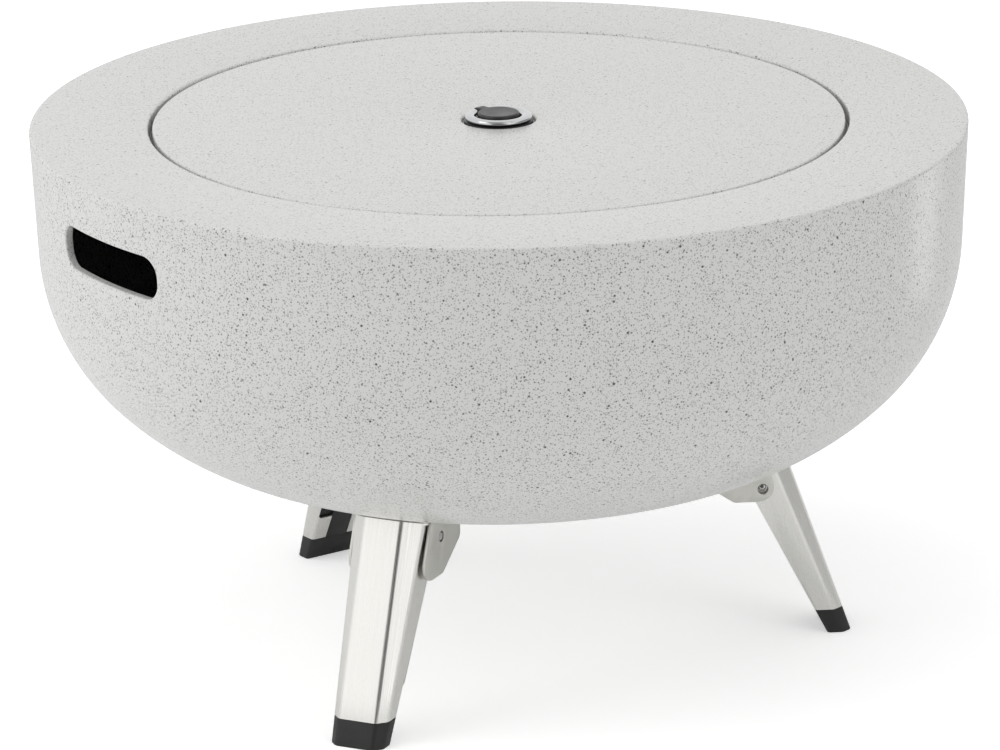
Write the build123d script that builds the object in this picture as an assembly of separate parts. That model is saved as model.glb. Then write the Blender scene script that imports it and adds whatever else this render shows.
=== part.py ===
from build123d import *
import os
from math import asin, cos, degrees, radians, sin, sqrt, tan

# A low round fire pit: an enamelled steel bowl on three folding legs, with a fire bowl hung
# in its rim and a flat lid that lifts off by a ring. Millimetres, +Z up, origin on the ground
# under the centre. The two hand slots lie on the X axis.

# Overall
RIM_RADIUS = 350.0
RIM_HEIGHT = 412.0
LEG_AZIMUTHS = (90.0, 210.0, 330.0)

# Outer bowl: a tapered wall, then three tangent arcs down to a flat base
WALL_TAPER = 2.6
WALL_DEPTH = 93.0
SHOULDER_RADIUS = 156.0
SHOULDER_END = 45.0
BELLY_RADIUS = 216.0
BELLY_END = 20.0
BASE_RADIUS = 382.0
BOWL_SHEET = 1.5

# Hand slots with edges turned inward
SLOT_WIDTH = 124.0
SLOT_HEIGHT = 32.0
SLOT_CORNER = 14.0
SLOT_DROP = 35.5
SLOT_LIP = 6.0

# Rim ring: flat top, flush skirt, joggle inside the wall, ledge round the fire opening
RIM_SHEET = 2.0
RIM_EDGE = 3.5
SKIRT_HEIGHT = 8.0
JOGGLE_DEPTH = 12.0
JOGGLE_GAP = 0.2
OPENING_RADIUS = 261.5
OPENING_EDGE = 3.0
LEDGE_DEPTH = 14.0
LEDGE_WIDTH = 15.5

# Fire bowl: hangs by its flange on the ledge
FIRE_SHEET = 1.5
FIRE_CLEARANCE = 1.0
FIRE_TAPER = 7.0
FIRE_WALL = 120.0
FIRE_CORNER = 75.0
AIR_HOLES = 8
AIR_HOLE_RADIUS = 7.0
AIR_CIRCLE = 105.0

# Fuel grate: cast plate with slots, standing on four feet
GRATE_THICKNESS = 10.0
GRATE_STAND = 32.0
GRATE_RIM = 16.0
GRATE_BAR = 12.0
GRATE_GAP = 18.0
GRATE_FOOT_RADIUS = 7.0
GRATE_FOOT_MARGIN = 1.0

# Lid: pressed panel with a turned-down edge and a dish for the lift ring
LID_GAP = 3.0
LID_DROP = 1.8
LID_SHEET = 1.5
LID_EDGE = 3.0
LID_SEAT_GAP = 0.3
DISH_RADIUS = 31.0
DISH_DEPTH = 3.6
DISH_EDGE = 2.0

# Lift ring: an oval-section ring on a hinge lug beside a round base
RING_RADIUS = 25.2
RING_WIDTH = 8.2
RING_THICKNESS = 4.6
RING_PROUD = 4.5
RING_REST_GAP = 0.3
RING_AZIMUTH = 97.0
HINGE_GAP = 9.0
HINGE_PIN_RADIUS = 1.8
HINGE_FIT = 0.1
LUG_WIDTH = 8.0
LUG_WALL = 1.4
BUTTON_RADIUS = 15.5
BUTTON_PROUD = 5.7
BUTTON_EDGE = 2.5
PLATE_RADIUS = 26.5
PLATE_NOTCH_HALF = 13.0
RING_SCREW_RADIUS = 3.0
RING_SCREW_GRIP = 7.0
RING_WASHER_RADIUS = 12.0
RING_WASHER_THICKNESS = 2.0

# Leg hinge: pivot below the bowl's underside
PIVOT_RADIUS = 174.0
PIVOT_BELOW = 11.8
PIN_RADIUS = 4.0
PIN_FIT = 0.05
PIN_RUNNING_FIT = 0.1
PIN_RECESS = 0.4
PIN_CHAMFER = 0.6
SPACER_RADIUS = 6.0
HINGE_WASHER_RADIUS = 8.5

# Leg channel, folded from sheet: face, two slanted facets, two flanges, lips at the toe
LEG_SHEET = 1.5
LEG_BEND = 2.2
FACE_AHEAD = 40.7
FACE_SPLAY = 19.2
FACE_HALF = 15.0
EDGE_BEHIND = 0.6
EDGE_SPLAY = 27.0
FLANGE_HALF = 27.6
FLANGE_TAPER = 2.5
LEG_CLEARANCE = 0.7
LEG_STOP_GAP = 1.2
LIP_TOP = 39.5
LIP_GAP = 20.0

# Foot: moulded plug flush with the leg, with a tongue up its inside that shows between the lips
FOOT_HEIGHT = 19.0
FOOT_FIT = 0.15
TONGUE_TOP = 46.0

# Leg bracket: curved pad under the bowl with two ears beside the leg
BRACKET_SHEET = 2.0
BRACKET_GAP = 0.2
EAR_GAP = 1.5
EAR_BACK = 32.0
EAR_DROP = 28.8
EAR_AHEAD = 23.0
EAR_CORNER = 13.0
EAR_SLANT_RUN = 30.0
EAR_SLANT_RISE = 20.0
EAR_SLANT_CORNER = 6.0
PAD_AHEAD = 22.0

# Leg lock plunger, seen through a hole in one ear
PLUNGER_AHEAD = 20.0
PLUNGER_BELOW = 18.7
PLUNGER_RADIUS = 3.7
PLUNGER_RISE = 1.5
PLUNGER_ROUND = 1.3
PLUNGER_BODY = 4.5
PLUNGER_LENGTH = 12.0
PLUNGER_HOLE = 4.2

# Bracket screws with flanged heads, nuts inside the bowl
SCREW_RADIUS = 3.0
SCREW_FIT = 0.3
SCREW_FLANGE = 6.5
SCREW_FLANGE_HEIGHT = 1.2
SCREW_HEX = 5.0
SCREW_HEAD_HEIGHT = 4.0
SCREW_SEAT_GAP = 0.1
SCREW_PLACES = ((-21.0, -14.0), (-21.0, 14.0), (13.0, 0.0))

# Places that follow from the sizes above
wall_lean = radians(WALL_TAPER)
shoulder_turn = radians(SHOULDER_END)
belly_turn = radians(BELLY_END)
wall_foot_radius = RIM_RADIUS - WALL_DEPTH * tan(wall_lean)
shoulder_radius = wall_foot_radius - SHOULDER_RADIUS * (cos(wall_lean) - sin(shoulder_turn))
shoulder_height = RIM_HEIGHT - WALL_DEPTH - SHOULDER_RADIUS * (cos(shoulder_turn) - sin(wall_lean))
belly_radius = shoulder_radius - BELLY_RADIUS * (sin(shoulder_turn) - sin(belly_turn))
belly_height = shoulder_height - BELLY_RADIUS * (cos(belly_turn) - cos(shoulder_turn))
base_flat_radius = belly_radius - BASE_RADIUS * sin(belly_turn)
base_height = belly_height - BASE_RADIUS * (1 - cos(belly_turn))

seam_height = RIM_HEIGHT - SKIRT_HEIGHT
ledge_top = RIM_HEIGHT - LEDGE_DEPTH
ledge_radius = OPENING_RADIUS - LEDGE_WIDTH
fire_flange_top = ledge_top + FIRE_SHEET
fire_lean = radians(FIRE_TAPER)
fire_radius = ledge_radius - FIRE_CLEARANCE
fire_floor_drop = FIRE_WALL + FIRE_CORNER * (1 - sin(fire_lean))
fire_floor_top = ledge_top - fire_floor_drop + FIRE_SHEET
fire_flat_radius = fire_radius - FIRE_WALL * tan(fire_lean) - FIRE_CORNER * cos(fire_lean)
grate_foot_circle = fire_flat_radius - GRATE_FOOT_MARGIN - GRATE_FOOT_RADIUS
grate_radius = grate_foot_circle + GRATE_RIM / 2

lid_radius = OPENING_RADIUS - LID_GAP
lid_top = RIM_HEIGHT - LID_DROP
dish_floor = lid_top - DISH_DEPTH
ring_axis = lid_top + RING_PROUD - RING_THICKNESS / 2
ring_centre = RING_RADIUS - RING_WIDTH / 2
hinge_radius = sqrt(ring_centre**2 - (HINGE_GAP / 2) ** 2)
plate_top = ring_axis - RING_THICKNESS / 2 - RING_REST_GAP


def underside(radius):
    """Height of the bowl's outer surface on the base arc."""
    return base_height + BASE_RADIUS - sqrt(BASE_RADIUS**2 - (radius - base_flat_radius) ** 2)


def underside_slope(radius):
    """Slope of the bowl's outer surface on the base arc, in radians."""
    return asin((radius - base_flat_radius) / BASE_RADIUS)


pivot_height = underside(PIVOT_RADIUS) - PIVOT_BELOW
pivot_slope = underside_slope(PIVOT_RADIUS)
pad_drop = BRACKET_GAP + BRACKET_SHEET
lug_radius = PIVOT_BELOW * cos(pivot_slope) - pad_drop - LEG_CLEARANCE
face_rate = tan(radians(FACE_SPLAY))
edge_rate = tan(radians(EDGE_SPLAY))
flange_rate = tan(radians(FLANGE_TAPER))
leg_toe = FOOT_HEIGHT + FOOT_FIT
ear_inner = FLANGE_HALF + EAR_GAP
ear_outer = ear_inner + BRACKET_SHEET
plunger_radius = PIVOT_RADIUS + PLUNGER_AHEAD
plunger_height = pivot_height - PLUNGER_BELOW


def revolved(outline):
    """Solid of revolution about Z from a closed outline drawn as (radius, height)."""
    return revolve(Plane.XZ * make_face(outline), Axis.Z)


def across(outline, half):
    """Outline drawn as (radius, height), thickened by half to each side across the leg."""
    return extrude(Plane.XZ * outline, half, both=True)


def rod(radius, height, rod_radius, low, high):
    """Round bar across the leg from low to high, at a radius and height."""
    bar = across(Pos(radius, height) * Circle(rod_radius), (high - low) / 2)
    return Pos(0, (low + high) / 2, 0) * bar


def bowl_solid(inset, top):
    """Everything inside the bowl's surface moved inward by inset, up to a height."""
    start = (RIM_RADIUS - (RIM_HEIGHT - top) * tan(wall_lean) - inset / cos(wall_lean), top)
    foot = (
        wall_foot_radius - inset * cos(wall_lean),
        RIM_HEIGHT - WALL_DEPTH + inset * sin(wall_lean),
    )
    wall = Line(start, foot)
    shoulder = JernArc(wall @ 1, wall % 1, SHOULDER_RADIUS - inset, SHOULDER_END + WALL_TAPER - 90)
    belly = JernArc(shoulder @ 1, shoulder % 1, BELLY_RADIUS - inset, BELLY_END - SHOULDER_END)
    base = JernArc(belly @ 1, belly % 1, BASE_RADIUS - inset, -BELLY_END)
    floor = Polyline(base @ 1, (0, (base @ 1).Y), (0, top), start)
    return revolved([wall, shoulder, belly, base, floor])


def make_outer_bowl():
    body = bowl_solid(0, seam_height)
    shell = body - bowl_solid(BOWL_SHEET, seam_height)
    lip_zone = body - bowl_solid(SLOT_LIP, seam_height)
    slot_height = RIM_HEIGHT - SLOT_DROP - SLOT_HEIGHT / 2
    slot = RectangleRounded(SLOT_WIDTH, SLOT_HEIGHT, SLOT_CORNER)
    grow = 2 * BOWL_SHEET
    lip = RectangleRounded(SLOT_WIDTH + grow, SLOT_HEIGHT + grow, SLOT_CORNER + BOWL_SHEET)
    for side in (-1, 1):
        plane = Plane((0, 0, slot_height), x_dir=(0, 1, 0), z_dir=(side, 0, 0))
        shell += extrude(plane * lip, RIM_RADIUS) & lip_zone
        shell -= extrude(plane * slot, RIM_RADIUS)
    for azimuth in LEG_AZIMUTHS:
        for place in screw_places():
            shell -= Rot(Z=azimuth) * place * Cylinder(SCREW_RADIUS + SCREW_FIT, 8 * BOWL_SHEET)
    return shell


def make_rim_ring():
    skirt_top = RIM_RADIUS
    skirt_foot = RIM_RADIUS - SKIRT_HEIGHT * tan(wall_lean)
    joggle = skirt_foot - BOWL_SHEET - JOGGLE_GAP
    joggle_foot = seam_height - JOGGLE_DEPTH
    joggle_lean = JOGGLE_DEPTH * tan(wall_lean)
    under = RIM_HEIGHT - RIM_SHEET
    well = OPENING_RADIUS + RIM_SHEET
    corners = [
        ((skirt_top, RIM_HEIGHT), RIM_EDGE),
        ((skirt_foot, seam_height + JOGGLE_GAP), 0),
        ((joggle, seam_height + JOGGLE_GAP), 0),
        ((joggle - joggle_lean, joggle_foot), 0),
        ((joggle - joggle_lean - RIM_SHEET, joggle_foot), 0),
        ((joggle - RIM_SHEET, under), RIM_EDGE - RIM_SHEET),
        ((well, under), OPENING_EDGE - RIM_SHEET),
        ((well, ledge_top - RIM_SHEET), OPENING_EDGE),
        ((ledge_radius, ledge_top - RIM_SHEET), 0),
        ((ledge_radius, ledge_top), 0),
        ((OPENING_RADIUS, ledge_top), OPENING_EDGE - RIM_SHEET),
        ((OPENING_RADIUS, RIM_HEIGHT), OPENING_EDGE),
    ]
    points = [point for point, _ in corners]
    return revolved(FilletPolyline(points, radius=[radius for _, radius in corners], close=True))


def fire_solid(inset):
    """Everything inside the fire bowl's surface moved inward by inset."""
    start = (fire_radius - inset / cos(fire_lean), ledge_top)
    foot_radius = fire_radius - FIRE_WALL * tan(fire_lean)
    foot = (foot_radius - inset * cos(fire_lean), ledge_top - FIRE_WALL + inset * sin(fire_lean))
    wall = Line(start, foot)
    corner = JernArc(wall @ 1, wall % 1, FIRE_CORNER - inset, FIRE_TAPER - 90)
    top = fire_flange_top
    floor = Polyline(corner @ 1, (0, (corner @ 1).Y), (0, top), (start[0], top), start)
    return revolved([wall, corner, floor])


def make_fire_bowl():
    flange = Pos(0, 0, ledge_top) * extrude(
        Circle(OPENING_RADIUS - FIRE_CLEARANCE), fire_flange_top - ledge_top
    )
    bowl = fire_solid(0) + flange - fire_solid(FIRE_SHEET)
    holes = PolarLocations(AIR_CIRCLE, AIR_HOLES) * Cylinder(AIR_HOLE_RADIUS, 4 * FIRE_SHEET)
    return bowl - [Pos(0, 0, fire_floor_top) * hole for hole in holes]


def make_fuel_grate():
    plate = Circle(grate_radius)
    well = grate_radius - GRATE_RIM
    pitch = GRATE_BAR + GRATE_GAP
    rows = int((well - GRATE_GAP) / pitch)
    slots = Sketch()
    for row in range(-rows, rows + 1):
        slots += Pos(row * pitch, 0) * Rectangle(GRATE_GAP, 2 * grate_radius)
    slots -= Rectangle(2 * grate_radius, GRATE_BAR)
    plate -= slots & Circle(well)
    grate = Pos(0, 0, fire_floor_top + GRATE_STAND) * extrude(plate, GRATE_THICKNESS)
    foot = extrude(Circle(GRATE_FOOT_RADIUS), GRATE_STAND + GRATE_THICKNESS / 2)
    for place in PolarLocations(grate_foot_circle, 4, start_angle=0):
        grate += Pos(0, 0, fire_floor_top) * place * foot
    return grate


def make_lid_panel():
    under = lid_top - LID_SHEET
    skirt_foot = fire_flange_top + LID_SEAT_GAP
    hole = RING_SCREW_RADIUS + SCREW_FIT
    corners = [
        ((hole, dish_floor), 0),
        ((DISH_RADIUS, dish_floor), DISH_EDGE - LID_SHEET),
        ((DISH_RADIUS, lid_top), DISH_EDGE),
        ((lid_radius, lid_top), LID_EDGE),
        ((lid_radius, skirt_foot), 0),
        ((lid_radius - LID_SHEET, skirt_foot), 0),
        ((lid_radius - LID_SHEET, under), LID_EDGE - LID_SHEET),
        ((DISH_RADIUS + LID_SHEET, under), DISH_EDGE - LID_SHEET),
        ((DISH_RADIUS + LID_SHEET, dish_floor - LID_SHEET), DISH_EDGE),
        ((hole, dish_floor - LID_SHEET), 0),
    ]
    points = [point for point, _ in corners]
    return revolved(FilletPolyline(points, radius=[radius for _, radius in corners], close=True))


def make_lift_ring_base():
    top = lid_top + BUTTON_PROUD
    corners = [
        ((0, dish_floor), 0),
        ((PLATE_RADIUS, dish_floor), 0),
        ((PLATE_RADIUS, plate_top), 0),
        ((BUTTON_RADIUS, plate_top), 0),
        ((BUTTON_RADIUS, top), BUTTON_EDGE),
        ((0, top), 0),
    ]
    points = [point for point, _ in corners]
    base = revolved(FilletPolyline(points, radius=[radius for _, radius in corners], close=True))
    notch = Pos(PLATE_RADIUS, 0, dish_floor) * Box(
        2 * (PLATE_RADIUS - BUTTON_RADIUS - LUG_WALL), 2 * PLATE_NOTCH_HALF, 4 * DISH_DEPTH
    )
    barrel = HINGE_PIN_RADIUS + HINGE_FIT + LUG_WALL
    lug = Pos(hinge_radius, ring_axis) * Circle(barrel)
    lug += Pos(hinge_radius / 2, ring_axis) * Rectangle(hinge_radius, 2 * barrel)
    base = base - notch + across(lug, LUG_WIDTH / 2)
    base -= rod(hinge_radius, ring_axis, HINGE_PIN_RADIUS + HINGE_FIT, -LUG_WIDTH, LUG_WIDTH)
    bore = RING_SCREW_RADIUS + HINGE_FIT
    base -= Pos(0, 0, dish_floor) * Cylinder(bore, 2 * (RING_SCREW_GRIP + HINGE_FIT))
    return Rot(Z=RING_AZIMUTH) * base


def make_lift_ring():
    section = Pos(ring_centre, ring_axis) * Ellipse(RING_WIDTH / 2, RING_THICKNESS / 2)
    ring = revolve(Plane.XZ * section, Axis.Z)
    ring -= Pos(ring_centre, 0, ring_axis) * Box(2 * RING_WIDTH, HINGE_GAP, 2 * RING_WIDTH)
    reach = HINGE_GAP / 2 + LUG_WALL / 2
    ring += rod(hinge_radius, ring_axis, HINGE_PIN_RADIUS, -reach, reach)
    return Rot(Z=RING_AZIMUTH) * ring


def make_ring_washer():
    top = dish_floor - LID_SHEET
    face = Circle(RING_WASHER_RADIUS) - Circle(RING_SCREW_RADIUS + SCREW_FIT)
    return Pos(0, 0, top) * extrude(face, -RING_WASHER_THICKNESS)


def make_ring_screw():
    seat = dish_floor - LID_SHEET - RING_WASHER_THICKNESS
    shank = extrude(Circle(RING_SCREW_RADIUS), dish_floor + RING_SCREW_GRIP - seat)
    head = extrude(RegularPolygon(SCREW_HEX, 6, major_radius=False), -SCREW_HEAD_HEIGHT)
    return Pos(0, 0, seat) * (shank + head)


def screw_places():
    """Frames of one bracket's screws: on the bowl's underside, Z along its outward normal."""
    places = []
    for ahead, side in SCREW_PLACES:
        reach = sqrt((PIVOT_RADIUS + ahead) ** 2 + side**2)
        turn = degrees(asin(side / reach))
        tilt = 180 - degrees(underside_slope(reach))
        places.append(Rot(Z=turn) * Pos(reach, 0, underside(reach)) * Rot(Y=tilt))
    return places


def make_bracket_screw():
    seat = pad_drop + SCREW_SEAT_GAP
    inside = BOWL_SHEET + SCREW_SEAT_GAP + SCREW_HEAD_HEIGHT + SCREW_FLANGE_HEIGHT
    flange = extrude(Circle(SCREW_FLANGE), SCREW_FLANGE_HEIGHT)
    head = extrude(RegularPolygon(SCREW_HEX, 6, major_radius=False), SCREW_HEAD_HEIGHT)
    shank = Pos(0, 0, -inside - seat) * extrude(Circle(SCREW_RADIUS), inside + seat)
    return Pos(0, 0, seat) * (flange + head + shank)


def make_bracket_nut():
    seat = BOWL_SHEET + SCREW_SEAT_GAP
    bore = Circle(SCREW_RADIUS + PIN_FIT)
    flange = extrude(Circle(SCREW_FLANGE) - bore, -SCREW_FLANGE_HEIGHT)
    hexagon = RegularPolygon(SCREW_HEX, 6, major_radius=False) - bore
    return Pos(0, 0, -seat) * (flange + extrude(hexagon, -SCREW_HEAD_HEIGHT))


def make_leg_bracket():
    gap_body = bowl_solid(-BRACKET_GAP, RIM_HEIGHT)
    back = PIVOT_RADIUS - EAR_BACK
    front = PIVOT_RADIUS + PAD_AHEAD
    pad_zone = Pos((back + front) / 2, 0, base_height) * Box(
        front - back, 2 * ear_outer, base_height
    )
    pad_zone -= [place * Cylinder(SCREW_RADIUS + SCREW_FIT, 4 * pad_drop) for place in screw_places()]
    pad = (bowl_solid(-pad_drop, RIM_HEIGHT) - gap_body) & pad_zone
    ear_rate = face_rate + flange_rate
    bottom = pivot_height - EAR_DROP
    top = underside(front) + BRACKET_SHEET
    slant_foot = back + EAR_SLANT_RUN
    outline = FilletPolyline(
        (back, top),
        (back, bottom + EAR_SLANT_RISE),
        (slant_foot, bottom),
        (PIVOT_RADIUS + EAR_AHEAD + EAR_DROP * ear_rate, bottom),
        (PIVOT_RADIUS + EAR_AHEAD - (top - pivot_height) * ear_rate, top),
        radius=[0, EAR_SLANT_CORNER, EAR_SLANT_CORNER, EAR_CORNER, 0],
        close=True,
    )
    ear = make_face(outline)
    ears = across(ear, ear_outer) - across(ear, ear_inner) - gap_body
    bracket = pad + ears
    bracket -= rod(PIVOT_RADIUS, pivot_height, PIN_RADIUS + PIN_FIT, -2 * ear_outer, 2 * ear_outer)
    bracket -= rod(plunger_radius, plunger_height, PLUNGER_HOLE, -2 * ear_outer, 0)
    return bracket


def make_pivot_pin():
    half = ear_outer - PIN_RECESS
    pin = rod(PIVOT_RADIUS, pivot_height, PIN_RADIUS, -half, half)
    ends = pin.edges().filter_by(GeomType.CIRCLE)
    return chamfer(ends, PIN_CHAMFER)


def leg_section(height, inset, back):
    """Corners of the leg's outline at a height, moved inward by inset, drawn back by back."""
    below = pivot_height - height
    face = PIVOT_RADIUS + FACE_AHEAD + below * face_rate
    width = FLANGE_HALF - below * flange_rate
    facet = face + FACE_HALF - inset * sqrt(2 + face_rate**2)
    inner = PIVOT_RADIUS - EDGE_BEHIND + below * edge_rate + inset * sqrt(1 + edge_rate**2) - back
    face -= inset * sqrt(1 + face_rate**2)
    width -= inset
    half = facet - face
    bend = facet - width
    side = [(inner, width), (bend, width), (face, half)]
    mirror = [(radius, -offset) for radius, offset in reversed(side)]
    return [Vector(radius, offset, height) for radius, offset in side + mirror]


def leg_prism(low, high, inset, back=0.0):
    """Tapered solid between the leg's outlines at two heights."""
    lower = leg_section(low, inset, back)
    upper = leg_section(high, inset, back)
    faces = [Face(Wire.make_polygon(ring)) for ring in (lower, upper)]
    for index in range(len(lower)):
        following = (index + 1) % len(lower)
        corners = (lower[index], lower[following], upper[following], upper[index])
        faces.append(Face(Wire.make_polygon(corners)))
    return Solid(Shell(faces))


def folded(prism, shortest):
    """Tapered solid with the four folds of the sheet rounded; the two inner edges stay sharp."""
    long_edges = prism.edges().filter_by(lambda edge: edge.bounding_box().size.Z > shortest)
    return fillet(long_edges.sort_by(Axis.X)[2:], LEG_BEND)


def leg_side():
    """Side view of the leg: straight inner edge, round lug at the pivot, top under the bowl."""
    back = PIVOT_RADIUS - EDGE_BEHIND + (pivot_height - leg_toe) * edge_rate
    far = PIVOT_RADIUS + 4 * FACE_AHEAD
    pad_front = PIVOT_RADIUS + PAD_AHEAD
    step_low = pad_front + LEG_CLEARANCE
    step_high = step_low + BRACKET_SHEET
    stop = underside(step_high) - LEG_STOP_GAP
    lug_top = (
        PIVOT_RADIUS - lug_radius * sin(pivot_slope),
        pivot_height + lug_radius * cos(pivot_slope),
    )
    outline = Polyline(
        (back, leg_toe),
        (PIVOT_RADIUS - EDGE_BEHIND, pivot_height),
        lug_top,
        (step_low, underside(step_low) - pad_drop - LEG_CLEARANCE),
        (step_high, stop),
        (far, stop + (far - step_high) * tan(underside_slope(step_high))),
        (far, leg_toe),
        close=True,
    )
    return make_face(outline) + Pos(PIVOT_RADIUS, pivot_height) * Circle(lug_radius)


def make_leg_channel():
    top = underside(PIVOT_RADIUS + FACE_AHEAD)
    reach = 2 * lug_radius
    outer = folded(leg_prism(leg_toe, top, 0, reach), LIP_TOP)
    leg = outer & across(leg_side(), 2 * FLANGE_HALF)
    leg -= leg_prism(leg_toe - LEG_SHEET, top + LEG_SHEET, LEG_SHEET)
    leg -= leg_prism(LIP_TOP, top + LEG_SHEET, LEG_SHEET, 2 * reach)
    window = Pos(PIVOT_RADIUS, 0, 0) * Box(4 * FACE_AHEAD, LIP_GAP, 2 * LIP_TOP)
    leg -= window & leg_prism(leg_toe - LEG_SHEET, top, LEG_SHEET, 2 * reach)
    leg -= rod(
        PIVOT_RADIUS, pivot_height, PIN_RADIUS + PIN_RUNNING_FIT, -2 * FLANGE_HALF, 2 * FLANGE_HALF
    )
    leg -= rod(plunger_radius, plunger_height, SCREW_RADIUS + PIN_RUNNING_FIT, -2 * FLANGE_HALF, 0)
    return leg


def make_foot():
    root = FOOT_HEIGHT / 2
    inset = LEG_SHEET + FOOT_FIT
    flush = inset * sqrt(1 + edge_rate**2)
    plug = folded(leg_prism(0, FOOT_HEIGHT, 0), root)
    tongue = leg_prism(root, TONGUE_TOP, inset)
    between = Pos(PIVOT_RADIUS, 0, 0) * Box(4 * FACE_AHEAD, LIP_GAP - 2 * FOOT_FIT, 2 * TONGUE_TOP)
    rib = leg_prism(root, TONGUE_TOP, inset, flush) & between
    return plug + tongue + rib


def make_pivot_spacer():
    half = FLANGE_HALF - LEG_SHEET - SPACER_RADIUS * flange_rate - PIN_RUNNING_FIT
    tube = rod(PIVOT_RADIUS, pivot_height, SPACER_RADIUS, -half, half)
    return tube - rod(PIVOT_RADIUS, pivot_height, PIN_RADIUS + PIN_RUNNING_FIT, -2 * half, 2 * half)


def make_pivot_washers():
    near = FLANGE_HALF + HINGE_WASHER_RADIUS * flange_rate + PIN_RUNNING_FIT
    far = ear_inner - LID_SEAT_GAP
    ring = rod(PIVOT_RADIUS, pivot_height, HINGE_WASHER_RADIUS, near, far)
    ring -= rod(PIVOT_RADIUS, pivot_height, PIN_RADIUS + PIN_RUNNING_FIT, 0, 2 * far)
    return Compound([ring.solid(), mirror(ring, Plane.XZ).solid()])


def make_lock_plunger():
    flange = FLANGE_HALF - PLUNGER_BELOW * flange_rate
    seat = flange + PLUNGER_RADIUS * flange_rate
    inner = flange - LEG_SHEET - PLUNGER_BODY * flange_rate - PIN_RUNNING_FIT
    dome = rod(plunger_radius, plunger_height, PLUNGER_RADIUS, -seat - PLUNGER_RISE, -seat)
    rim = dome.edges().group_by(Axis.Y)[0]
    dome = fillet(rim, PLUNGER_ROUND)
    stem = rod(plunger_radius, plunger_height, SCREW_RADIUS, -seat - PLUNGER_RISE / 2, -inner)
    body = rod(plunger_radius, plunger_height, PLUNGER_BODY, -inner, PLUNGER_LENGTH - inner)
    return dome + stem + body


def grouped(shape, places):
    """Copies of one fastener at many places, as one group of separate solids."""
    copies = [Rot(Z=azimuth) * place * shape for azimuth in LEG_AZIMUTHS for place in places]
    return Compound([copy.solid() for copy in copies])


parts = {
    "outer_bowl": make_outer_bowl(),
    "rim_ring": make_rim_ring(),
    "fire_bowl": make_fire_bowl(),
    "fuel_grate": make_fuel_grate(),
    "lid_panel": make_lid_panel(),
    "lift_ring_base": make_lift_ring_base(),
    "lift_ring": make_lift_ring(),
    "lift_ring_washer": make_ring_washer(),
    "lift_ring_screw": make_ring_screw(),
    "bracket_screws": grouped(make_bracket_screw(), screw_places()),
    "bracket_nuts": grouped(make_bracket_nut(), screw_places()),
}
leg_parts = {
    "leg_bracket": make_leg_bracket(),
    "pivot_pin": make_pivot_pin(),
    "leg_channel": make_leg_channel(),
    "foot": make_foot(),
    "pivot_spacer": make_pivot_spacer(),
    "pivot_washers": make_pivot_washers(),
    "lock_plunger": make_lock_plunger(),
}
for number, azimuth in enumerate(LEG_AZIMUTHS, start=1):
    for name, shape in leg_parts.items():
        parts[f"{name}_{number}"] = Rot(Z=azimuth) * shape

os.makedirs("parts", exist_ok=True)
for name, shape in parts.items():
    export_step(shape, f"parts/{name}.step")
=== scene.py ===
from math import asin, atan2, cos, pi, radians, sin, sqrt, tan, tau

import bmesh
import bpy
from bmesh.types import BMEdge, BMFace, BMVert
from bpy.props import FloatProperty, FloatVectorProperty, PointerProperty
from bpy.types import Operator, Panel, PropertyGroup
from mathutils import Matrix, Vector


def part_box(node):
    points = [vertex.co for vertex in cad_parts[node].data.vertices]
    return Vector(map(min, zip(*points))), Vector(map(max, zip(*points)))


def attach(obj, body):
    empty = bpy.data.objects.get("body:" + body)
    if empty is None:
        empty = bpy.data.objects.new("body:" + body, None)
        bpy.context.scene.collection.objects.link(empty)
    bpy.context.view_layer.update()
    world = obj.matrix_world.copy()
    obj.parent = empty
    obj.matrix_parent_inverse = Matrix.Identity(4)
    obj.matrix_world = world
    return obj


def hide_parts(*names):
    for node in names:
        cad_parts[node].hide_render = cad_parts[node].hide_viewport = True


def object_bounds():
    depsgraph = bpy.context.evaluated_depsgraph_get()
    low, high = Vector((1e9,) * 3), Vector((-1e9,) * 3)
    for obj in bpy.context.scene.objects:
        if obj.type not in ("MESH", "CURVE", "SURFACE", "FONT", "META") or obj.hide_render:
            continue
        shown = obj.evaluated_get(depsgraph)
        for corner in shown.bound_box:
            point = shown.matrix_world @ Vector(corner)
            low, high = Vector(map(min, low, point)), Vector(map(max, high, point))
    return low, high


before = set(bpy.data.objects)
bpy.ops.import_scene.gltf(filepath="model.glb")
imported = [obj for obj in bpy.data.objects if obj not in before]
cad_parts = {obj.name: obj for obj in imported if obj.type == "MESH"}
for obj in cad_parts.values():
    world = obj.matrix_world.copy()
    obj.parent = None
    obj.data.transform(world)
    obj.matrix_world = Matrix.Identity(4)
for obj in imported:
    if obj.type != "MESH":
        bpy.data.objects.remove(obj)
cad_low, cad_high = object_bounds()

bl_info = {
    "name": "Speckled fire pit",
    "version": (1, 0, 0),
    "blender": (4, 5, 0),
    "location": "3D View > Sidebar > Fire pit",
    "description": "Dresses the frame of a low fire pit: enamelled bowl and lid, folding legs, lift ring",
    "category": "Object",
}

MM = 0.001
# Number and azimuth of each leg, and the directions of a leg that is made along X
LEGS = ((1, 90.0), (2, 210.0), (3, 330.0))
RADIAL, ACROSS, UP = Vector((1, 0, 0)), Vector((0, 1, 0)), Vector((0, 0, 1))
ROUND_STEPS = 360
AIR_HOLES = 8
# Distances in metres within which points are merged, or lie on a cut
MERGED, ON_CUT = 1e-6, 1e-7


def linear(code):
    """Linear colour of an sRGB hex code."""
    shares = [int(code[place:place + 2], 16) / 255 for place in (1, 3, 5)]
    return tuple(s / 12.92 if s <= 0.04045 else ((s + 0.055) / 1.055) ** 2.4 for s in shares)


def length(name, description, millimetres):
    """A size that is set in the sidebar."""
    return FloatProperty(
        name=name, description=description, default=millimetres * MM, precision=5, unit="LENGTH"
    )


def angle(name, description, degrees_written):
    """An angle that is set in the sidebar."""
    return FloatProperty(
        name=name, description=description, default=radians(degrees_written), subtype="ANGLE"
    )


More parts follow.
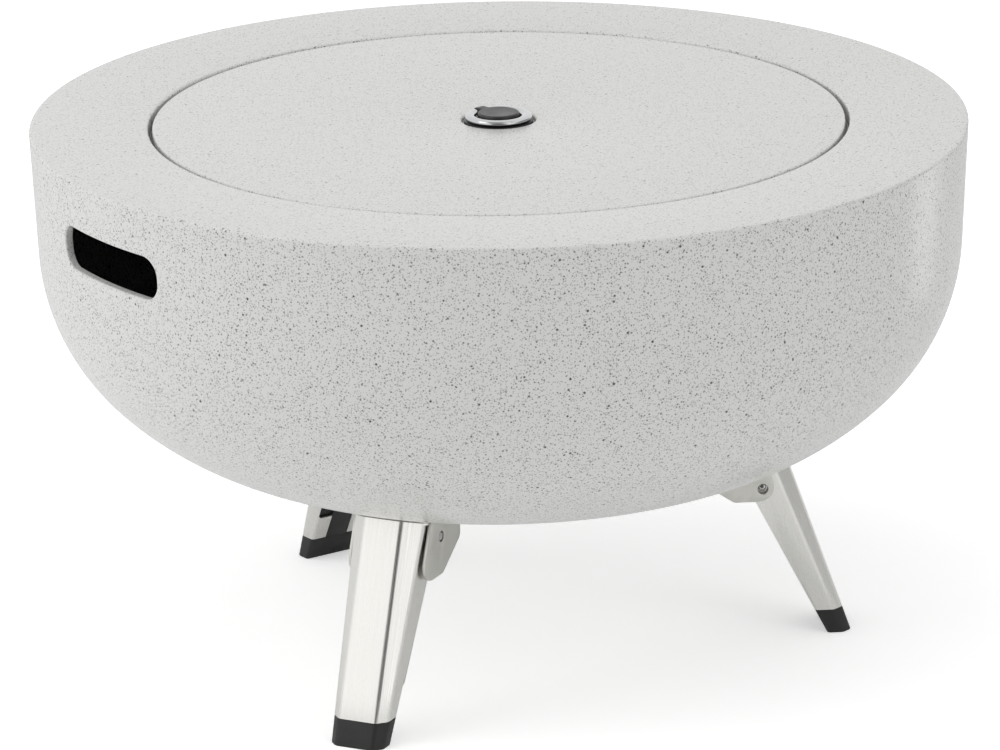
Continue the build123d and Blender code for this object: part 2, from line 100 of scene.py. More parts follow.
def colour(name, description, code):
    """A colour that is set in the sidebar."""
    return FloatVectorProperty(
        name=name, description=description, default=linear(code), size=3, min=0, max=1, subtype="COLOR"
    )


class BowlSizes(PropertyGroup):
    """Outer bowl and rim"""

    rim_radius: length("Rim radius", "Outer radius at the rim", 350.0)
    rim_height: length("Rim height", "Top of the rim above the ground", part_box("rim_ring")[1].z / MM)
    wall_taper: angle("Wall taper", "Lean of the upper wall", 2.6)
    wall_depth: length("Wall depth", "Height of the straight upper wall", 93.0)
    shoulder: length("Shoulder radius", "First arc below the wall", 156.0)
    belly: length("Belly radius", "Second arc", 216.0)
    base: length("Base radius", "Last arc, into the flat base", 382.0)
    sheet: length("Bowl sheet", "Thickness of the bowl's sheet", 1.5)
    seam: length("Seam depth", "Joint of bowl and rim below the top", 7.85)
    slot_width: length("Slot width", "Clear width of a hand slot", 124.0)
    slot_height: length("Slot height", "Clear height of a hand slot", 32.0)
    slot_corner: length("Slot corner", "Corner radius of a hand slot", 14.0)
    slot_drop: length("Slot drop", "Top of a hand slot below the rim", 35.5)
    slot_bend: length("Slot bend", "Radius of the edge that is turned in", 1.6)
    slot_lip: length("Slot lip", "Depth of the edge that is turned in", 6.0)
    rim_sheet: length("Rim sheet", "Thickness of the rim's sheet", 2.0)
    rim_edge: length("Rim edge", "Radius of the rim's outer edge", 2.2)
    joggle: length("Joggle depth", "Height of the rim's skirt inside the bowl", 12.0)
    joggle_gap: length("Joggle gap", "Gap between the rim's skirt and the bowl", 0.2)
    opening: length("Opening radius", "Fire opening in the rim", 261.5)
    opening_edge: length("Opening edge", "Radius of the opening's edge", 2.2)
    opening_drop: length("Opening drop", "Fall of the rim's top towards the opening", 1.3)
    ledge_drop: length("Ledge drop", "Ledge below the rim's top", 14.0)
    ledge_width: length("Ledge width", "Width of the ledge that carries the fire bowl", 15.5)


class FireSizes(PropertyGroup):
    """Fire bowl"""

    flange: length("Flange radius", "Outer radius of the flange on the ledge", 260.5)
    radius: length("Bowl radius", "Outer radius below the flange", 245.0)
    top: length("Flange top", "Height of the flange's top", 399.5)
    sheet: length("Fire bowl sheet", "Thickness of the sheet", 1.5)
    taper: angle("Fire bowl taper", "Lean of the wall", 7.0)
    wall: length("Fire bowl wall", "Height of the straight wall", 120.0)
    corner: length("Fire bowl corner", "Radius between wall and floor", 75.0)
    air_circle: length("Air circle", "Circle of the air holes", 105.0)
    air_radius: length("Air hole radius", "Radius of an air hole", 7.0)


class LidSizes(PropertyGroup):
    """Lid and lift ring"""

    radius: length("Lid radius", "Outer radius of the lid", 258.5)
    top: length("Lid top", "Height of the lid's top", 410.2)
    edge: length("Lid edge", "Radius of the lid's edge", 1.8)
    foot: length("Lid foot", "Height of the skirt's lower edge", 399.8)
    sheet: length("Lid sheet", "Thickness of the lid's sheet", 1.5)
    dish: length("Dish radius", "Dish for the lift ring", 27.5)
    dish_depth: length("Dish depth", "Depth of the dish", 3.6)
    dish_edge: length("Dish edge", "Radius of the dish's edge", 2.0)
    screw_hole: length("Screw hole", "Hole for the lift ring's screw", 3.3)
    ring: length("Ring radius", "Outer radius of the lift ring", 25.2)
    ring_width: length("Ring width", "Width of the ring's oval section", 8.2)
    ring_thickness: length("Ring thickness", "Thickness of the ring's oval section", 4.6)
    ring_axis: length("Ring height", "Height of the ring's middle plane", 412.4)
    ring_azimuth: angle("Ring azimuth", "Direction of the ring's hinge", 97.0)
    hinge_gap: length("Hinge gap", "Gap in the ring for the lug", 9.0)
    hinge_pin: length("Hinge pin radius", "Pin across the gap", 1.8)
    lug_width: length("Lug width", "Width of the hinge lug", 8.0)
    lug_barrel: length("Lug barrel", "Radius of the lug round the pin", 3.3)
    button: length("Button radius", "Round button inside the ring", 15.5)
    button_top: length("Button top", "Height of the button's top", 415.9)
    button_edge: length("Button edge", "Radius of the button's edge", 1.5)
    plate: length("Plate radius", "Base plate below the ring", 25.9)
    plate_top: length("Plate top", "Height of the base plate's top", 409.8)
    notch: length("Notch", "Inner edge of the plate's notch for the ring's end", 16.9)
    notch_half: length("Notch half width", "Half the notch's width", 13.0)


class LegSizes(PropertyGroup):
    """Folding legs, feet and brackets"""

    pivot_radius: length("Pivot radius", "Pivot from the centre line", 174.0)
    pivot_height: length("Pivot height", "Pivot above the ground", 139.877)
    face_ahead: length("Face ahead", "Outer face ahead of the pivot", 40.7)
    face_splay: angle("Face splay", "Lean of the outer face", 19.2)
    face_half: length("Face half width", "Half the outer face's width", 15.0)
    edge_behind: length("Edge behind", "Inner edge behind the pivot", 0.6)
    edge_splay: angle("Edge splay", "Lean of the inner edge", 27.0)
    flange_half: length("Flange half width", "Half the width over the flanges at the pivot", 27.6)
    flange_taper: angle("Flange taper", "Taper of the flanges", 2.5)
    sheet: length("Leg sheet", "Thickness of the leg's sheet", 1.5)
    bend: length("Leg bend", "Outer radius of the folds", 5.0)
    lug: length("Leg lug", "Radius of the leg round the pivot", 8.616)
    toe: length("Leg toe", "Lower end of the sheet above the ground", 19.15)
    lip_top: length("Lip top", "Upper end of the lips at the toe", 39.5)
    lip_gap: length("Lip gap", "Gap between the lips", 20.0)
    foot: length("Foot height", "Height of the moulded plug below the sheet", 19.0)
    foot_fit: length("Foot fit", "Gap between leg and foot", 0.15)
    tongue: length("Tongue top", "Height of the tongue inside the leg", 46.0)
    ear_inner: length("Ear inner face", "Ear's inner face from the leg's middle", 29.1)
    ear_sheet: length("Ear sheet", "Thickness of the bracket", 2.0)
    ear_back: length("Ear back", "Back edge behind the pivot", 32.0)
    ear_drop: length("Ear drop", "Lower edge below the pivot", 28.8)
    ear_ahead: length("Ear ahead", "Front edge ahead of the pivot", 23.0)
    ear_corner: length("Ear corner", "Front corner's radius", 13.0)
    slant_run: length("Slant run", "Length of the slanted back corner", 30.0)
    slant_rise: length("Slant rise", "Height of the slanted back corner", 20.0)
    slant_corner: length("Slant corner", "Radius at the slant's ends", 6.0)
    pad_ahead: length("Pad ahead", "Pad's front edge ahead of the pivot", 22.0)
    pad_gap: length("Pad gap", "Gap between bowl and bracket", 0.2)
    clearance: length("Leg clearance", "Gap between leg and pad", 0.7)
    stop_gap: length("Stop gap", "Gap between the leg's top and the bowl", 1.2)
    pin: length("Pin radius", "Radius of the pivot pin", 4.0)
    pin_nose: length("Pin nose", "Radius of the pin's turned-down ends", 3.2)
    pin_recess: length("Pin recess", "Pin's end below the ear's face", 0.4)
    lock_ahead: length("Lock ahead", "Lock plunger ahead of the pivot", 20.0)
    lock_below: length("Lock below", "Lock plunger below the pivot", 18.7)
    lock_hole: length("Lock hole", "Radius of the hole in the ear", 4.2)
    lock_stem: length("Lock stem hole", "Radius of the hole in the leg", 3.1)
    plunger: length("Plunger radius", "Radius of the plunger's dome", 3.7)
    plunger_rise: length("Plunger rise", "Height of the plunger's dome", 1.5)
    plunger_body: length("Plunger body", "Radius of the plunger inside the leg", 4.5)
    plunger_length: length("Plunger length", "Length of the plunger inside the leg", 12.0)


class Finishes(PropertyGroup):
    """Colours of the finishes"""

    enamel: colour("Enamel", "Ground of the speckled enamel", "#DCDCDA")
    fleck: colour("Flecks", "Dark flecks in the enamel", "#3A3A39")
    haze: colour("Fine flecks", "Fine grey flecks in the enamel", "#A0A09D")
    fire_enamel: colour("Fire bowl enamel", "Black enamel inside", "#1D1C1B")
    iron: colour("Cast iron", "Fuel grate", "#2C2A28")
    stainless: colour("Stainless steel", "Brushed steel of the legs", "#E6E5E1")
    satin: colour("Satin steel", "Tumbled steel of the brackets", "#D0CFC9")
    chrome: colour("Chrome", "Lift ring", "#C8C9CA")
    zinc: colour("Zinc plating", "Pins, screws and nuts", "#BFC0C0")
    button: colour("Button", "Black plastic inside the lift ring", "#2A2A2A")
    foot: colour("Feet", "Black plastic of the feet", "#1E1F1E")
    nylon: colour("Washers", "Black nylon of the pivot washers", "#272726")


class StageSizes(PropertyGroup):
    """Camera and light"""

    eye: FloatVectorProperty(
        name="Camera", description="Place of the camera", default=(-2.782, -4.033, 1.748), unit="LENGTH"
    )
    heading: angle("Heading", "Turn of the camera round the vertical", -34.577)
    pitch: angle("Pitch", "Look below the horizon", 17.429)
    roll: angle("Roll", "Tilt of the picture", -0.854)
    lens: FloatProperty(
        name="Lens", description="Focal length", default=244.85, unit="CAMERA"
    )
    sky: FloatProperty(name="Sky", description="Soft light from all round", default=0.42, min=0)
    left: FloatProperty(name="Left lamp", description="Lamp at the left", default=24.0, unit="POWER")
    right: FloatProperty(name="Right lamp", description="Lamp at the right", default=8.5, unit="POWER")
    above: FloatProperty(name="Top lamp", description="Lamp above", default=19.0, unit="POWER")


def only(kind, items):
    """The vertices, edges or faces among items."""
    return [item for item in items if isinstance(item, kind)]


def in_order(bm):
    """Sorts a mesh by place, because some operations leave it in another order in each run."""
    places = (
        (bm.verts, lambda vert: vert.co),
        (bm.edges, lambda edge: edge.verts[0].co + edge.verts[1].co),
        (bm.faces, lambda face: face.calc_center_median()),
    )
    for items, place in places:
        ranked = sorted(items, key=lambda item: [round(value, 6) for value in place(item)])
        rank = {item: number for number, item in enumerate(ranked)}
        items.sort(key=rank.get)
        items.index_update()


def settled(bm):
    """Sorts a mesh and turns its faces outward."""
    in_order(bm)
    bmesh.ops.recalc_face_normals(bm, faces=bm.faces)


def solid(bm, thickness):
    """Gives a sheet its thickness."""
    bmesh.ops.solidify(bm, geom=bm.faces[:], thickness=thickness)
    in_order(bm)


def draw(bm, start, moves):
    """Draws an open profile in the XZ plane. A move of two numbers is a line to (radius, height).

    A move of four is an arc: radius, direction of the surface's outward side at its start, turn, steps.
    """
    tip = bm.verts.new((start[0], 0, start[1]))
    for move in moves:
        if len(move) == 2:
            tip = bmesh.ops.extrude_vert_indiv(bm, verts=[tip])["verts"][0]
            tip.co = (move[0], 0, move[1])
            continue
        radius, outward, turn, steps = move
        centre = tip.co - radius * Vector((cos(outward), 0, sin(outward)))
        arc = bmesh.ops.spin(
            bm, geom=[tip], cent=centre, axis=(0, -1, 0), angle=turn, steps=steps, use_merge=False
        )
        tip = only(BMVert, arc["geom_last"])[0]
    return tip


def turned(bm, steps=ROUND_STEPS):
    """Turns the profile right round and closes its poles."""
    bmesh.ops.spin(
        bm, geom=bm.verts[:] + bm.edges[:], cent=(0, 0, 0), axis=(0, 0, 1), angle=tau, steps=steps,
        use_merge=True,
    )
    bmesh.ops.remove_doubles(bm, verts=bm.verts, dist=MERGED)
    settled(bm)


def sliced(bm, faces, point, normal):
    """Cuts faces along a plane. Gives those behind it and those beyond it."""
    parts = dict.fromkeys(item for face in faces for item in (face, *face.edges, *face.verts))
    cut = bmesh.ops.bisect_plane(bm, geom=list(parts), plane_co=point, plane_no=normal, dist=ON_CUT)
    behind, beyond = [], []
    for face in only(BMFace, cut["geom"]):
        (behind if (face.calc_center_median() - point).dot(normal) < 0 else beyond).append(face)
    return behind, beyond


def punched(bm, faces, outline, through):
    """Cuts a convex outline through faces along a direction, and takes out what is inside it."""
    for start, end in zip(outline, outline[1:] + outline[:1]):
        faces, _ = sliced(bm, faces, start, (end - start).cross(through).normalized())
    bmesh.ops.delete(bm, geom=faces, context="FACES")


def rounded_outline(width, height, corner, steps):
    """Points round a rounded rectangle about the origin, in the YZ plane, counterclockwise from +X."""
    points = []
    for quarter, (side, level) in enumerate(((1, 1), (-1, 1), (-1, -1), (1, -1))):
        centre = Vector((0, side * (width / 2 - corner), level * (height / 2 - corner)))
        for step in range(steps + 1):
            turn = (quarter + step / steps) * pi / 2
            points.append(centre + corner * Vector((0, cos(turn), sin(turn))))
    return points


def circle_outline(centre, radius, first, second, steps=24):
    """Points round a circle in the plane of two directions."""
    turns = [tau * step / steps for step in range(steps)]
    return [centre + radius * (cos(turn) * first + sin(turn) * second) for turn in turns]


def bevelled(bm, geom, offset, segments, affect="EDGES"):
    """Rounds edges, or the corners of a flat sheet."""
    bmesh.ops.bevel(
        bm, geom=geom, offset=offset, segments=segments, profile=0.5, affect=affect,
        clamp_overlap=True, material=-1,
    )


def softened(bm, width, over=60.0, segments=2):
    """Rounds every edge that is sharper than an angle in degrees."""
    sharp = [edge for edge in bm.edges if edge.is_manifold and edge.calc_face_angle() > radians(over)]
    bevelled(bm, sharp, width, segments)


def thickened(bm, way):
    """Extrudes flat faces into solids."""
    made = bmesh.ops.extrude_face_region(bm, geom=bm.faces[:])["geom"]
    bmesh.ops.translate(bm, verts=only(BMVert, made), vec=way)
    settled(bm)


def joined(bm, part):
    """Adds one bmesh to another and frees it."""
    holder = bpy.data.meshes.new("holder")
    part.to_mesh(holder)
    part.free()
    bm.from_mesh(holder)
    bpy.data.meshes.remove(holder)


def finished(bm, name, body, slot, finish, *nodes):
    """Makes a bmesh a piece of the object that stands for CAD nodes."""
    mesh = bpy.data.meshes.new(name)
    in_order(bm)
    outlines = [list(face.verts) for face in bm.faces]
    bmesh.ops.delete(bm, geom=bm.faces[:], context="FACES_ONLY")
    for verts in outlines:
        first = min(range(len(verts)), key=lambda place: verts[place].index)
        bm.faces.new(verts[first:] + verts[:first])
    bm.to_mesh(mesh)
    bm.free()
    mesh.shade_smooth()
    mesh.set_sharp_from_angle(angle=radians(35))
    mesh.materials.append(coat(finish))
    piece = bpy.data.objects.new(name, mesh)
    bpy.context.scene.collection.objects.link(piece)
    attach(piece, body)
    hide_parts(*nodes)
    return piece


def coated(finish, *nodes):
    """Gives CAD nodes that keep their own shape a finish."""
    for node in nodes:
        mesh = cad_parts[node].data
        mesh.materials.clear()
        mesh.materials.append(coat(finish))


def add(tree, kind, settings, inputs):
    """Adds a node, sets its properties, and sets or links its sockets."""
    node = tree.nodes.new("ShaderNode" + kind)
    for key, value in settings.items():
        setattr(node, key, value)
    for key, value in inputs.items():
        if isinstance(value, bpy.types.NodeSocket):
            tree.links.new(value, node.inputs[key])
        else:
            node.inputs[key].default_value = value
    return node


def blank(name):
    """A new material, its nodes and its shader."""
    material = bpy.data.materials.new(name)
    material.use_nodes = True
    tree = material.node_tree
    return material, tree, tree.nodes["Principled BSDF"]


def speckled_enamel(tree, shader, finish):
    """Vitreous enamel, sprayed and fired: a pale glossy ground, grey and near-black flecks of frit,
    and a faint orange peel that breaks up the highlights."""
    place = add(tree, "TexCoord", {}, {}).outputs["Object"]
    normal = add(tree, "NewGeometry", {}, {}).outputs["Normal"]
    upward = add(tree, "SeparateXYZ", {}, {0: normal}).outputs["Z"]
    surface = (*finish.enamel, 1)
    # Flecks: spacing in mm, smallest and largest radius as a share of it, share of places with a fleck,
    # tint, and how much of it shows. On surfaces that face up the flecks are made fainter, so these
    # read lighter
    level_share = 0.65
    layers = (
        (1.5, 0.25, 0.45, 0.85, finish.haze, 0.75),
        (2.8, 0.16, 0.28, 0.75, finish.fleck, 0.75),
        (9.0, 0.075, 0.125, 0.80, finish.fleck, 0.95),
    )
    for spacing, smallest, largest, share, tint, depth in layers:
        cells = add(
            tree, "TexVoronoi", {"feature": "F1"}, {"Vector": place, "Scale": 1 / (spacing * MM)}
        )
        chance = add(tree, "SeparateColor", {}, {"Color": cells.outputs["Color"]})
        radius = add(
            tree, "MapRange", {},
            {"Value": chance.outputs["Red"], "From Min": 1 - share, "To Min": smallest, "To Max": largest},
        )
        inside = add(
            tree, "Math", {"operation": "SUBTRACT"},
            {0: radius.outputs["Result"], 1: cells.outputs["Distance"]},
        )
        shown = add(
            tree, "MapRange", {},
            {
                "Value": upward, "From Min": 0.5, "From Max": 0.95, "To Min": depth,
                "To Max": level_share * depth,
            },
        )
        edge = add(
            tree, "MapRange", {"interpolation_type": "SMOOTHSTEP"},
            {
                "Value": inside.outputs[0], "From Min": -0.03, "From Max": 0.05,
                "To Max": shown.outputs["Result"],
            },
        )
        present = add(
            tree, "Math", {"operation": "GREATER_THAN"}, {0: chance.outputs["Red"], 1: 1 - share}
        )
        amount = add(
            tree, "Math", {"operation": "MULTIPLY"},
            {0: edge.outputs["Result"], 1: present.outputs[0]},
        )
        mix = add(
            tree, "Mix", {"data_type": "RGBA"}, {0: amount.outputs[0], 6: surface, 7: (*tint, 1)}
        )
        surface = mix.outputs[2]
    tree.links.new(surface, shader.inputs["Base Color"])
    # Orange peel: waves about 1.6 mm long and a few micrometres deep
    peel = add(
        tree, "TexNoise", {}, {"Vector": place, "Scale": 1 / (1.6 * MM), "Detail": 2.0}
    )
    bump = add(
        tree, "Bump", {}, {"Height": peel.outputs[0], "Strength": 0.35, "Distance": 0.05 * MM}
    )
    tree.links.new(bump.outputs[0], shader.inputs["Normal"])
    shader.inputs["Roughness"].default_value = 0.22
    shader.inputs["IOR"].default_value = 1.5


def brushed_stainless(tree, shader, finish):
    """Stainless sheet, brushed along its length before folding: fine streaks in gloss and a warm grey."""
    grain = add(tree, "Attribute", {"attribute_name": "grain"}, {}).outputs["Vector"]
    # Streaks 0.5 mm apart and 60 mm long, coarser than the real grit so that they show
    stretch = add(
        tree, "Mapping", {},
        {"Vector": grain, "Scale": (1 / (0.5 * MM), 1 / (0.5 * MM), 1 / (60 * MM))},
    )
    streaks = add(
        tree, "TexNoise", {}, {"Vector": stretch.outputs[0], "Scale": 1.0, "Detail": 3.0}
    )
    gloss = add(
        tree, "MapRange", {},
        {"Value": streaks.outputs[0], "From Min": 0.3, "From Max": 0.7, "To Min": 0.24, "To Max": 0.36},
    )
    tree.links.new(gloss.outputs["Result"], shader.inputs["Roughness"])
    bump = add(
        tree, "Bump", {}, {"Height": streaks.outputs[0], "Strength": 0.25, "Distance": 0.02 * MM}
    )
    tree.links.new(bump.outputs[0], shader.inputs["Normal"])
    tone = add(
        tree, "Mix", {"data_type": "RGBA"},
        {
            0: streaks.outputs[0], 6: (*[0.93 * part for part in finish.stainless], 1),
            7: (*finish.stainless, 1),
        },
    )
    tree.links.new(tone.outputs[2], shader.inputs["Base Color"])
    shader.inputs["Metallic"].default_value = 1.0


def grained(tree, shader, tint, metallic, dull, shiny, grain_mm, depth_mm, blotch_mm, shade):
    """A finish with a fine surface grain, and slow changes of gloss and tone over it."""
    place = add(tree, "TexCoord", {}, {}).outputs["Object"]
    grain = add(
        tree, "TexNoise", {}, {"Vector": place, "Scale": 1 / (grain_mm * MM), "Detail": 3.0}
    )
    blotch = add(
        tree, "TexNoise", {}, {"Vector": place, "Scale": 1 / (blotch_mm * MM), "Detail": 4.0}
    )
    bump = add(
        tree, "Bump", {}, {"Height": grain.outputs[0], "Strength": 0.5, "Distance": depth_mm * MM}
    )
    tree.links.new(bump.outputs[0], shader.inputs["Normal"])
    gloss = add(
        tree, "MapRange", {},
        {"Value": blotch.outputs[0], "From Min": 0.3, "From Max": 0.7, "To Min": shiny, "To Max": dull},
    )
    tree.links.new(gloss.outputs["Result"], shader.inputs["Roughness"])
    tone = add(
        tree, "Mix", {"data_type": "RGBA"},
        {0: blotch.outputs[0], 6: (*[shade * part for part in tint], 1), 7: (*tint, 1)},
    )
    tree.links.new(tone.outputs[2], shader.inputs["Base Color"])
    shader.inputs["Metallic"].default_value = metallic


# Finishes with a fine grain: tint, metallic, dullest and shiniest roughness, width and depth of the grain
# in mm, width of the blotches in mm, and the darkest tone as a share of the tint
GRAINED = {
    # Black vitreous enamel: glossy, with a fine peel
    "vitreous_enamel_black": ("fire_enamel", 0.0, 0.42, 0.26, 1.6, 0.03, 45.0, 0.8),
    # Sand-cast iron, seasoned: dull, with the coarse skin of the mould
    "cast_iron": ("iron", 0.0, 0.72, 0.52, 1.1, 0.25, 20.0, 0.7),
    # Polished chrome over zinc: mirror gloss with the faintest ripple
    "chrome_plate": ("chrome", 1.0, 0.09, 0.05, 6.0, 0.004, 12.0, 0.98),
    # Bright zinc plating: satin, slightly uneven in tone
    "zinc_plate": ("zinc", 1.0, 0.42, 0.26, 0.6, 0.008, 5.0, 0.85),
    # Stainless sheet, tumbled after pressing: an even satin with no direction
    "stainless_satin": ("satin", 1.0, 0.4, 0.32, 0.5, 0.004, 14.0, 0.95),
    # Turned and polished steel: a small bright dome that mirrors the floor and the bowl
    "steel_polished": ("zinc", 1.0, 0.16, 0.1, 0.8, 0.002, 3.0, 0.92),
    # Moulded ABS: black with a satin skin
    "abs_satin": ("button", 0.0, 0.42, 0.32, 0.5, 0.01, 10.0, 0.9),
    # Moulded polypropylene: black and dull, with a fine spark-eroded texture
    "polypropylene_textured": ("foot", 0.0, 0.6, 0.48, 0.7, 0.03, 14.0, 0.85),
    # Moulded black nylon: dull and waxy
    "nylon_black": ("nylon", 0.0, 0.55, 0.4, 0.8, 0.01, 6.0, 0.95),
}
PATTERNED = {"vitreous_enamel_speckled": speckled_enamel, "stainless_brushed": brushed_stainless}


def coat(name):
    """The material of a finish, made when it is first asked for."""
    material = bpy.data.materials.get(name)
    if material:
        return material
    finish = bpy.context.scene.fire_pit_finishes
    material, tree, shader = blank(name)
    if name in GRAINED:
        tint, *surface = GRAINED[name]
        grained(tree, shader, getattr(finish, tint), *surface)
    else:
        PATTERNED[name](tree, shader, finish)
    return material


def bowl_profile(bm, bowl, top):
    """Half section of the bowl's outer surface from a height down to the middle of the base."""
    lean = bowl.wall_taper
    wall_foot = bowl.rim_height - bowl.wall_depth
    start = bowl.rim_radius - (bowl.rim_height - top) * tan(lean)
    rows = 9
    runs = [
        (start - (top - wall_foot) * tan(lean) * row / rows, top - (top - wall_foot) * row / rows)
        for row in range(1, rows + 1)
    ]
    shoulder_end, belly_end = radians(45), radians(20)
    arcs = [
        (bowl.shoulder, -lean, -(pi / 2 - shoulder_end - lean), 14),
        (bowl.belly, -(pi / 2 - shoulder_end), -(shoulder_end - belly_end), 10),
        (bowl.base, -(pi / 2 - belly_end), -belly_end, 14),
    ]
    end = draw(bm, (start, top), runs + arcs)
    draw_on = bmesh.ops.extrude_vert_indiv(bm, verts=[end])["verts"][0]
    draw_on.co = (0, 0, end.co.z)
    return end.co.copy()


def underside(bowl):
    """Functions for the height and slope of the bowl's underside at a radius."""
    bm = bmesh.new()
    flat = bowl_profile(bm, bowl, bowl.rim_height - bowl.seam)
    bm.free()

    def height(radius):
        return flat.z + bowl.base - sqrt(bowl.base**2 - (radius - flat.x) ** 2)

    def slope(radius):
        return asin((radius - flat.x) / bowl.base)

    return height, slope


class FIREPIT_OT_outer_bowl(Operator):
    """Build the enamelled bowl with its two hand slots"""

    bl_idname = "firepit.outer_bowl"
    bl_label = "Outer bowl"

    def execute(self, context):
        bowl = context.scene.fire_pit_bowl
        bm = bmesh.new()
        bowl_profile(bm, bowl, bowl.rim_height - bowl.seam)
        turned(bm)
        level = bowl.rim_height - bowl.slot_drop - bowl.slot_height / 2
        for side in (1, -1):
            self.cut_slot(bm, bowl, Vector((0, 0, level)), side)
        solid(bm, bowl.sheet)
        finished(bm, "outer_bowl_skin", "pit", "speckled_enamel", "vitreous_enamel_speckled", "outer_bowl")
        return {"FINISHED"}

    def cut_slot(self, bm, bowl, middle, side):
        """Cuts a slot and turns its edge inward."""
        bend = bowl.slot_bend
        width, height = bowl.slot_width + 2 * bend, bowl.slot_height + 2 * bend
        corner = bowl.slot_corner + bend
        outline = [middle + point for point in rounded_outline(width, height, corner, 8)]
        near = [
            face for face in bm.faces
            if face.calc_center_median().x * side > bowl.rim_radius / 2
            and abs(face.calc_center_median().y) < width
            and abs(face.calc_center_median().z - middle.z) < height
        ]
        before = {edge for edge in bm.edges if edge.is_boundary}
        punched(bm, near, outline, RADIAL)
        loop = [edge for edge in bm.edges if edge.is_boundary and edge not in before]
        core_y, core_z = width / 2 - corner, height / 2 - corner
        steps = 5
        for step in range(1, steps + 2):
            made = bmesh.ops.extrude_edge_only(bm, edges=loop)["geom"]
            loop = [edge for edge in only(BMEdge, made) if edge.is_boundary]
            turn, last = pi / 2 * min(step, steps) / steps, pi / 2 * (step - 1) / steps
            inward, deeper = bend * (sin(turn) - sin(last)), bend * (cos(last) - cos(turn))
            if step > steps:
                inward, deeper = 0, bowl.slot_lip - bend
            for vert in {vert for edge in loop for vert in edge.verts}:
                across = Vector((0, vert.co.y, vert.co.z - middle.z))
                core = Vector((
                    0, max(-core_y, min(core_y, across.y)), max(-core_z, min(core_z, across.z))
                ))
                vert.co -= (across - core).normalized() * inward + Vector((side * deeper, 0, 0))


class FIREPIT_OT_rim_ring(Operator):
    """Build the rim with its skirt and the ledge round the fire opening"""

    bl_idname = "firepit.rim_ring"
    bl_label = "Rim ring"

    def execute(self, context):
        bowl = context.scene.fire_pit_bowl
        top, lean = bowl.rim_height, tan(bowl.wall_taper)
        hairline = 0.05 * MM
        seam = top - bowl.seam + hairline
        skirt = bowl.rim_radius - (top - seam) * lean
        joggle = skirt - bowl.sheet - bowl.joggle_gap
        depth = bowl.joggle
        ledge = top - bowl.ledge_drop
        bend = bowl.opening_edge - bowl.rim_sheet
        bm = bmesh.new()
        draw(bm, (joggle - depth * lean, seam - depth), [
            (joggle, seam),
            (skirt, seam),
            (bowl.rim_radius - bowl.rim_edge * lean, top - bowl.rim_edge),
            (bowl.rim_edge, 0, pi / 2, 8),
            (bowl.opening + bowl.opening_edge, top - bowl.opening_drop),
            (bowl.opening_edge, pi / 2, pi / 2, 8),
            (bowl.opening, ledge + bend),
            (-bend, pi, -pi / 2, 4),
            (bowl.opening - bowl.ledge_width, ledge),
        ])
        turned(bm)
        solid(bm, bowl.rim_sheet)
        finished(bm, "rim_skin", "pit", "speckled_enamel", "vitreous_enamel_speckled", "rim_ring")
        return {"FINISHED"}


class FIREPIT_OT_lid_panel(Operator):
    """Build the pressed lid with the dish for the lift ring"""

    bl_idname = "firepit.lid_panel"
    bl_label = "Lid panel"

    def execute(self, context):
        lid = context.scene.fire_pit_lid
        floor = lid.top - lid.dish_depth
        bend = lid.dish_edge - lid.sheet
        bm = bmesh.new()
        draw(bm, (lid.radius, lid.foot), [
            (lid.radius, lid.top - lid.edge),
            (lid.edge, 0, pi / 2, 8),
            (lid.dish + lid.dish_edge, lid.top),
            (lid.dish_edge, pi / 2, pi / 2, 8),
            (lid.dish, floor + bend),
            (-bend, pi, -pi / 2, 4),
            (lid.screw_hole, floor),
        ])
        turned(bm)
        solid(bm, lid.sheet)
        finished(bm, "lid_skin", "lid", "speckled_enamel", "vitreous_enamel_speckled", "lid_panel")
        return {"FINISHED"}


